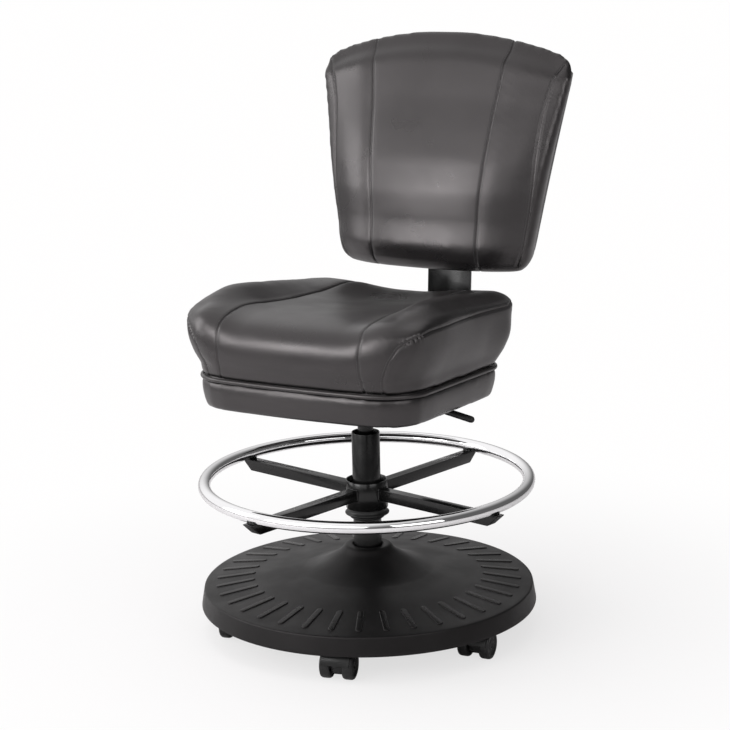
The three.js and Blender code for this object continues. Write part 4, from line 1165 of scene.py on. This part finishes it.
def rib(angle):
    """Vertices and faces of one rib, whose middle line points along angle."""
    middle_slope = (TREAD_INNER[1] - TREAD_OUTER[1]) / (TREAD_OUTER[0] - TREAD_INNER[0])
    near = TREAD_INNER[0] + RIB_HALF_WIDTH
    far = TREAD_OUTER[0] - RIB_HALF_WIDTH
    loops = []
    for growth, lift in RIB_LAYERS:
        half = RIB_HALF_WIDTH + growth
        loop = []
        for middle, start in ((far, -90), (near, 90)):
            for k in range(RIB_END_STEPS + 1):
                bend = radians(start + 180 * k / RIB_END_STEPS)
                reach = middle + half * cos(bend)
                aside = half * sin(bend)
                height = TREAD_INNER[1] - (reach - TREAD_INNER[0]) * middle_slope + lift
                loop.append(at_column(
                    reach * cos(angle) - aside * sin(angle),
                    reach * sin(angle) + aside * cos(angle),
                    height,
                ))
        loops.append(loop)
    return lofted(loops)


rib_angles = [2 * pi * (k + 0.5) / RIB_COUNT for k in range(RIB_COUNT)]
ribs = joined(rib(angle) for angle in rib_angles)
finished(new_piece("base_cover_ribs", *ribs), "base_black", "base", WORN_MOULDING)

# Caster wheels with a rounded tread and a raised cap
CASTER_CIRCLE = 253
CASTER_FIRST_ANGLE = 18.1
CASTER_TRAIL = 18
CASTER_TRAIL_ANGLES = (12, 4, 150, 40, 200, 191)
CASTER_COUNT = len(CASTER_TRAIL_ANGLES)
WHEEL_PROFILE = (
    (4.15, 10.5), (21.0, 10.5), (23.6, 11.3), (24.6, 13.0), (25.0, 15.5), (25.0, 23.5), (24.6, 26.0),
    (23.6, 27.7), (22.0, 28.4), (18.5, 28.6), (17.6, 27.8), (16.8, 26.6), (10.0, 26.2), (9.2, 27.0),
    (8.0, 27.4), (4.15, 27.4),
)
WHEEL_RADIUS = 25
WHEEL_FACETS = 18
WHEEL_SIDES = 40
AXLE_HEIGHT = WHEEL_RADIUS * cos(pi / WHEEL_FACETS)
TYRE_SHARE = 0.985
shrink = Matrix.Diagonal((TYRE_SHARE, TYRE_SHARE, 1, 1))
for number, trail in enumerate(CASTER_TRAIL_ANGLES, 1):
    stem = radians(CASTER_FIRST_ANGLE + 360 / CASTER_COUNT * (number - 1))
    turn = radians(trail)
    middle = at_column(
        CASTER_CIRCLE * sin(stem) + CASTER_TRAIL * sin(turn),
        -CASTER_CIRCLE * cos(stem) - CASTER_TRAIL * cos(turn),
        AXLE_HEIGHT,
    )
    for side, facing in (("left", -90), ("right", 90)):
        place = Matrix.Translation(middle) @ Matrix.Rotation(turn, 4, "Z")
        place @= Matrix.Rotation(radians(facing), 4, "Y")
        wheel = turned(f"caster_{number}_tyre_{side}", WHEEL_PROFILE, place @ shrink, WHEEL_SIDES)
        finished(wheel, "nylon", f"caster_{number}_{side}")
        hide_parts(f"caster_{number}_wheel_{side}")

# The other solids keep their shape and get their own finish, some with softened edges
EDGE_SOFTENING = {
    "column_socket": 0.4, "mechanism_plate": 0.5, "back_bar": 1.2, "height_lever": 0.3,
    "lever_grip": 1.6, "gas_cylinder": 0.3,
    **{f"footring_spoke_{k}": 0.9 for k in range(1, SPOKE_COUNT + 1)},
    **{f"caster_{k}_hood": 0.5 for k in range(1, CASTER_COUNT + 1)},
}
SAME_EDGE = 0.02
for name, node in frame["nodes"].items():
    node.data.materials.clear()
    node.data.materials.append(FINISHES[SLOT_OF[name]])
    shade(node.data)
    if name in EDGE_SOFTENING:
        modify(node, "WELD", merge_threshold=SAME_EDGE * MM)
        modify(node, "BEVEL", width=EDGE_SOFTENING[name] * MM, segments=2, limit_method="ANGLE",
               angle_limit=SMOOTH_ANGLE, harden_normals=True)
    else:
        modify(node, "EDGE_SPLIT", split_angle=SMOOTH_ANGLE)

# Floor, backdrop and lamps
FLOOR_HALF = 30
WHITE_ZONE = (0.1, 1.1)
WHITE_LEAST = 0.68
FLOOR_COLOUR = (0.74, 0.725, 0.73)
GLOW_COLOUR = (1, 0.995, 0.995, 1)


def floor_finish():
    """Pale floor that keeps the chair's shadow near it and fades into the white backdrop."""
    finish = Finish("floor", FLOOR_COLOUR, 0.75, Specular_IOR_Level=0.15)
    tree = finish.tree
    distance = added(tree, "ShaderNodeVectorMath", {0: finish.place}, operation="LENGTH")["Value"]
    white = mapped(tree, distance, *WHITE_ZONE, WHITE_LEAST, interpolation_type="SMOOTHSTEP")
    share = math_of(tree, "MULTIPLY", white, added(tree, "ShaderNodeLightPath")["Is Camera Ray"])
    glow = added(tree, "ShaderNodeEmission", {"Color": GLOW_COLOUR, "Strength": 1.0})["Emission"]
    plain = tree.nodes["Principled BSDF"].outputs["BSDF"]
    mixed = added(tree, "ShaderNodeMixShader", {"Fac": share, 1: plain, 2: glow})["Shader"]
    fill_in(tree, tree.nodes["Material Output"], {"Surface": mixed})
    return finish.material


ground = new_piece("floor", [
    (x * FLOOR_HALF, y * FLOOR_HALF, 0) for x, y in ((-1, -1), (1, -1), (1, 1), (-1, 1))
], [(0, 1, 2, 3)])
ground.data.materials.append(floor_finish())

world = bpy.data.worlds.new("studio")
world.use_nodes = True
bpy.context.scene.world = world
BRIGHT_SIDE = (-0.72, -0.2, 0.62)
BRIGHT_ZONE = (-0.15, 0.75)
LIGHT_LEVELS = (0.12, 1.05)
AMBIENT_SHARE = 0.85
BACKDROP_COLOUR = (1, 0.99, 0.99, 1)


def light_world(tree):
    """A room that is bright above and to the left and dim elsewhere; the camera sees it white."""
    place = added(tree, "ShaderNodeTexCoord")["Generated"]
    side = {0: place, 1: BRIGHT_SIDE}
    towards = added(tree, "ShaderNodeVectorMath", side, operation="DOT_PRODUCT")["Value"]
    level = mapped(tree, towards, *BRIGHT_ZONE, *LIGHT_LEVELS, interpolation_type="SMOOTHSTEP")
    path = added(tree, "ShaderNodeLightPath")
    share = mapped(tree, path["Is Glossy Ray"], 0, 1, AMBIENT_SHARE)
    seen = math_of(tree, "MAXIMUM", math_of(tree, "MULTIPLY", level, share), path["Is Camera Ray"])
    fill_in(tree, tree.nodes["Background"], {"Color": BACKDROP_COLOUR, "Strength": seen})


light_world(world.node_tree)
SEAT_MIDDLE = Vector((0, 0, 0.6))

# Softboxes aimed at the seat: place, width, height, radiance where plain white is 1, and if they are mirrored
for name, place, width, height, radiance, mirrored_too in (
    ("key_softbox", (-0.9, -2.0, 1.0), 1.1, 0.5, 5.6, True),
    ("front_softbox", (-0.2, -2.3, 1.3), 3.0, 1.1, 1.6, True),
    ("left_softbox", (-2.1, -1.0, 1.15), 1.0, 1.3, 3.2, True),
    ("right_softbox", (2.0, -1.1, 1.3), 1.4, 1.0, 2.6, True),
    ("overhead_softbox", (-0.6, -0.1, 2.9), 2.0, 1.8, 1.8, False),
):
    lamp = in_scene(name, bpy.data.lights.new(name, "AREA"))
    lamp.data.shape = "RECTANGLE"
    lamp.data.size = width
    lamp.data.size_y = height
    lamp.data.energy = radiance * pi * width * height
    lamp.location = place
    lamp.rotation_euler = (SEAT_MIDDLE - Vector(place)).to_track_quat("-Z", "Y").to_euler()
    lamp.visible_camera = False
    lamp.visible_glossy = mirrored_too

bpy.context.scene.view_settings.view_transform = "Standard"
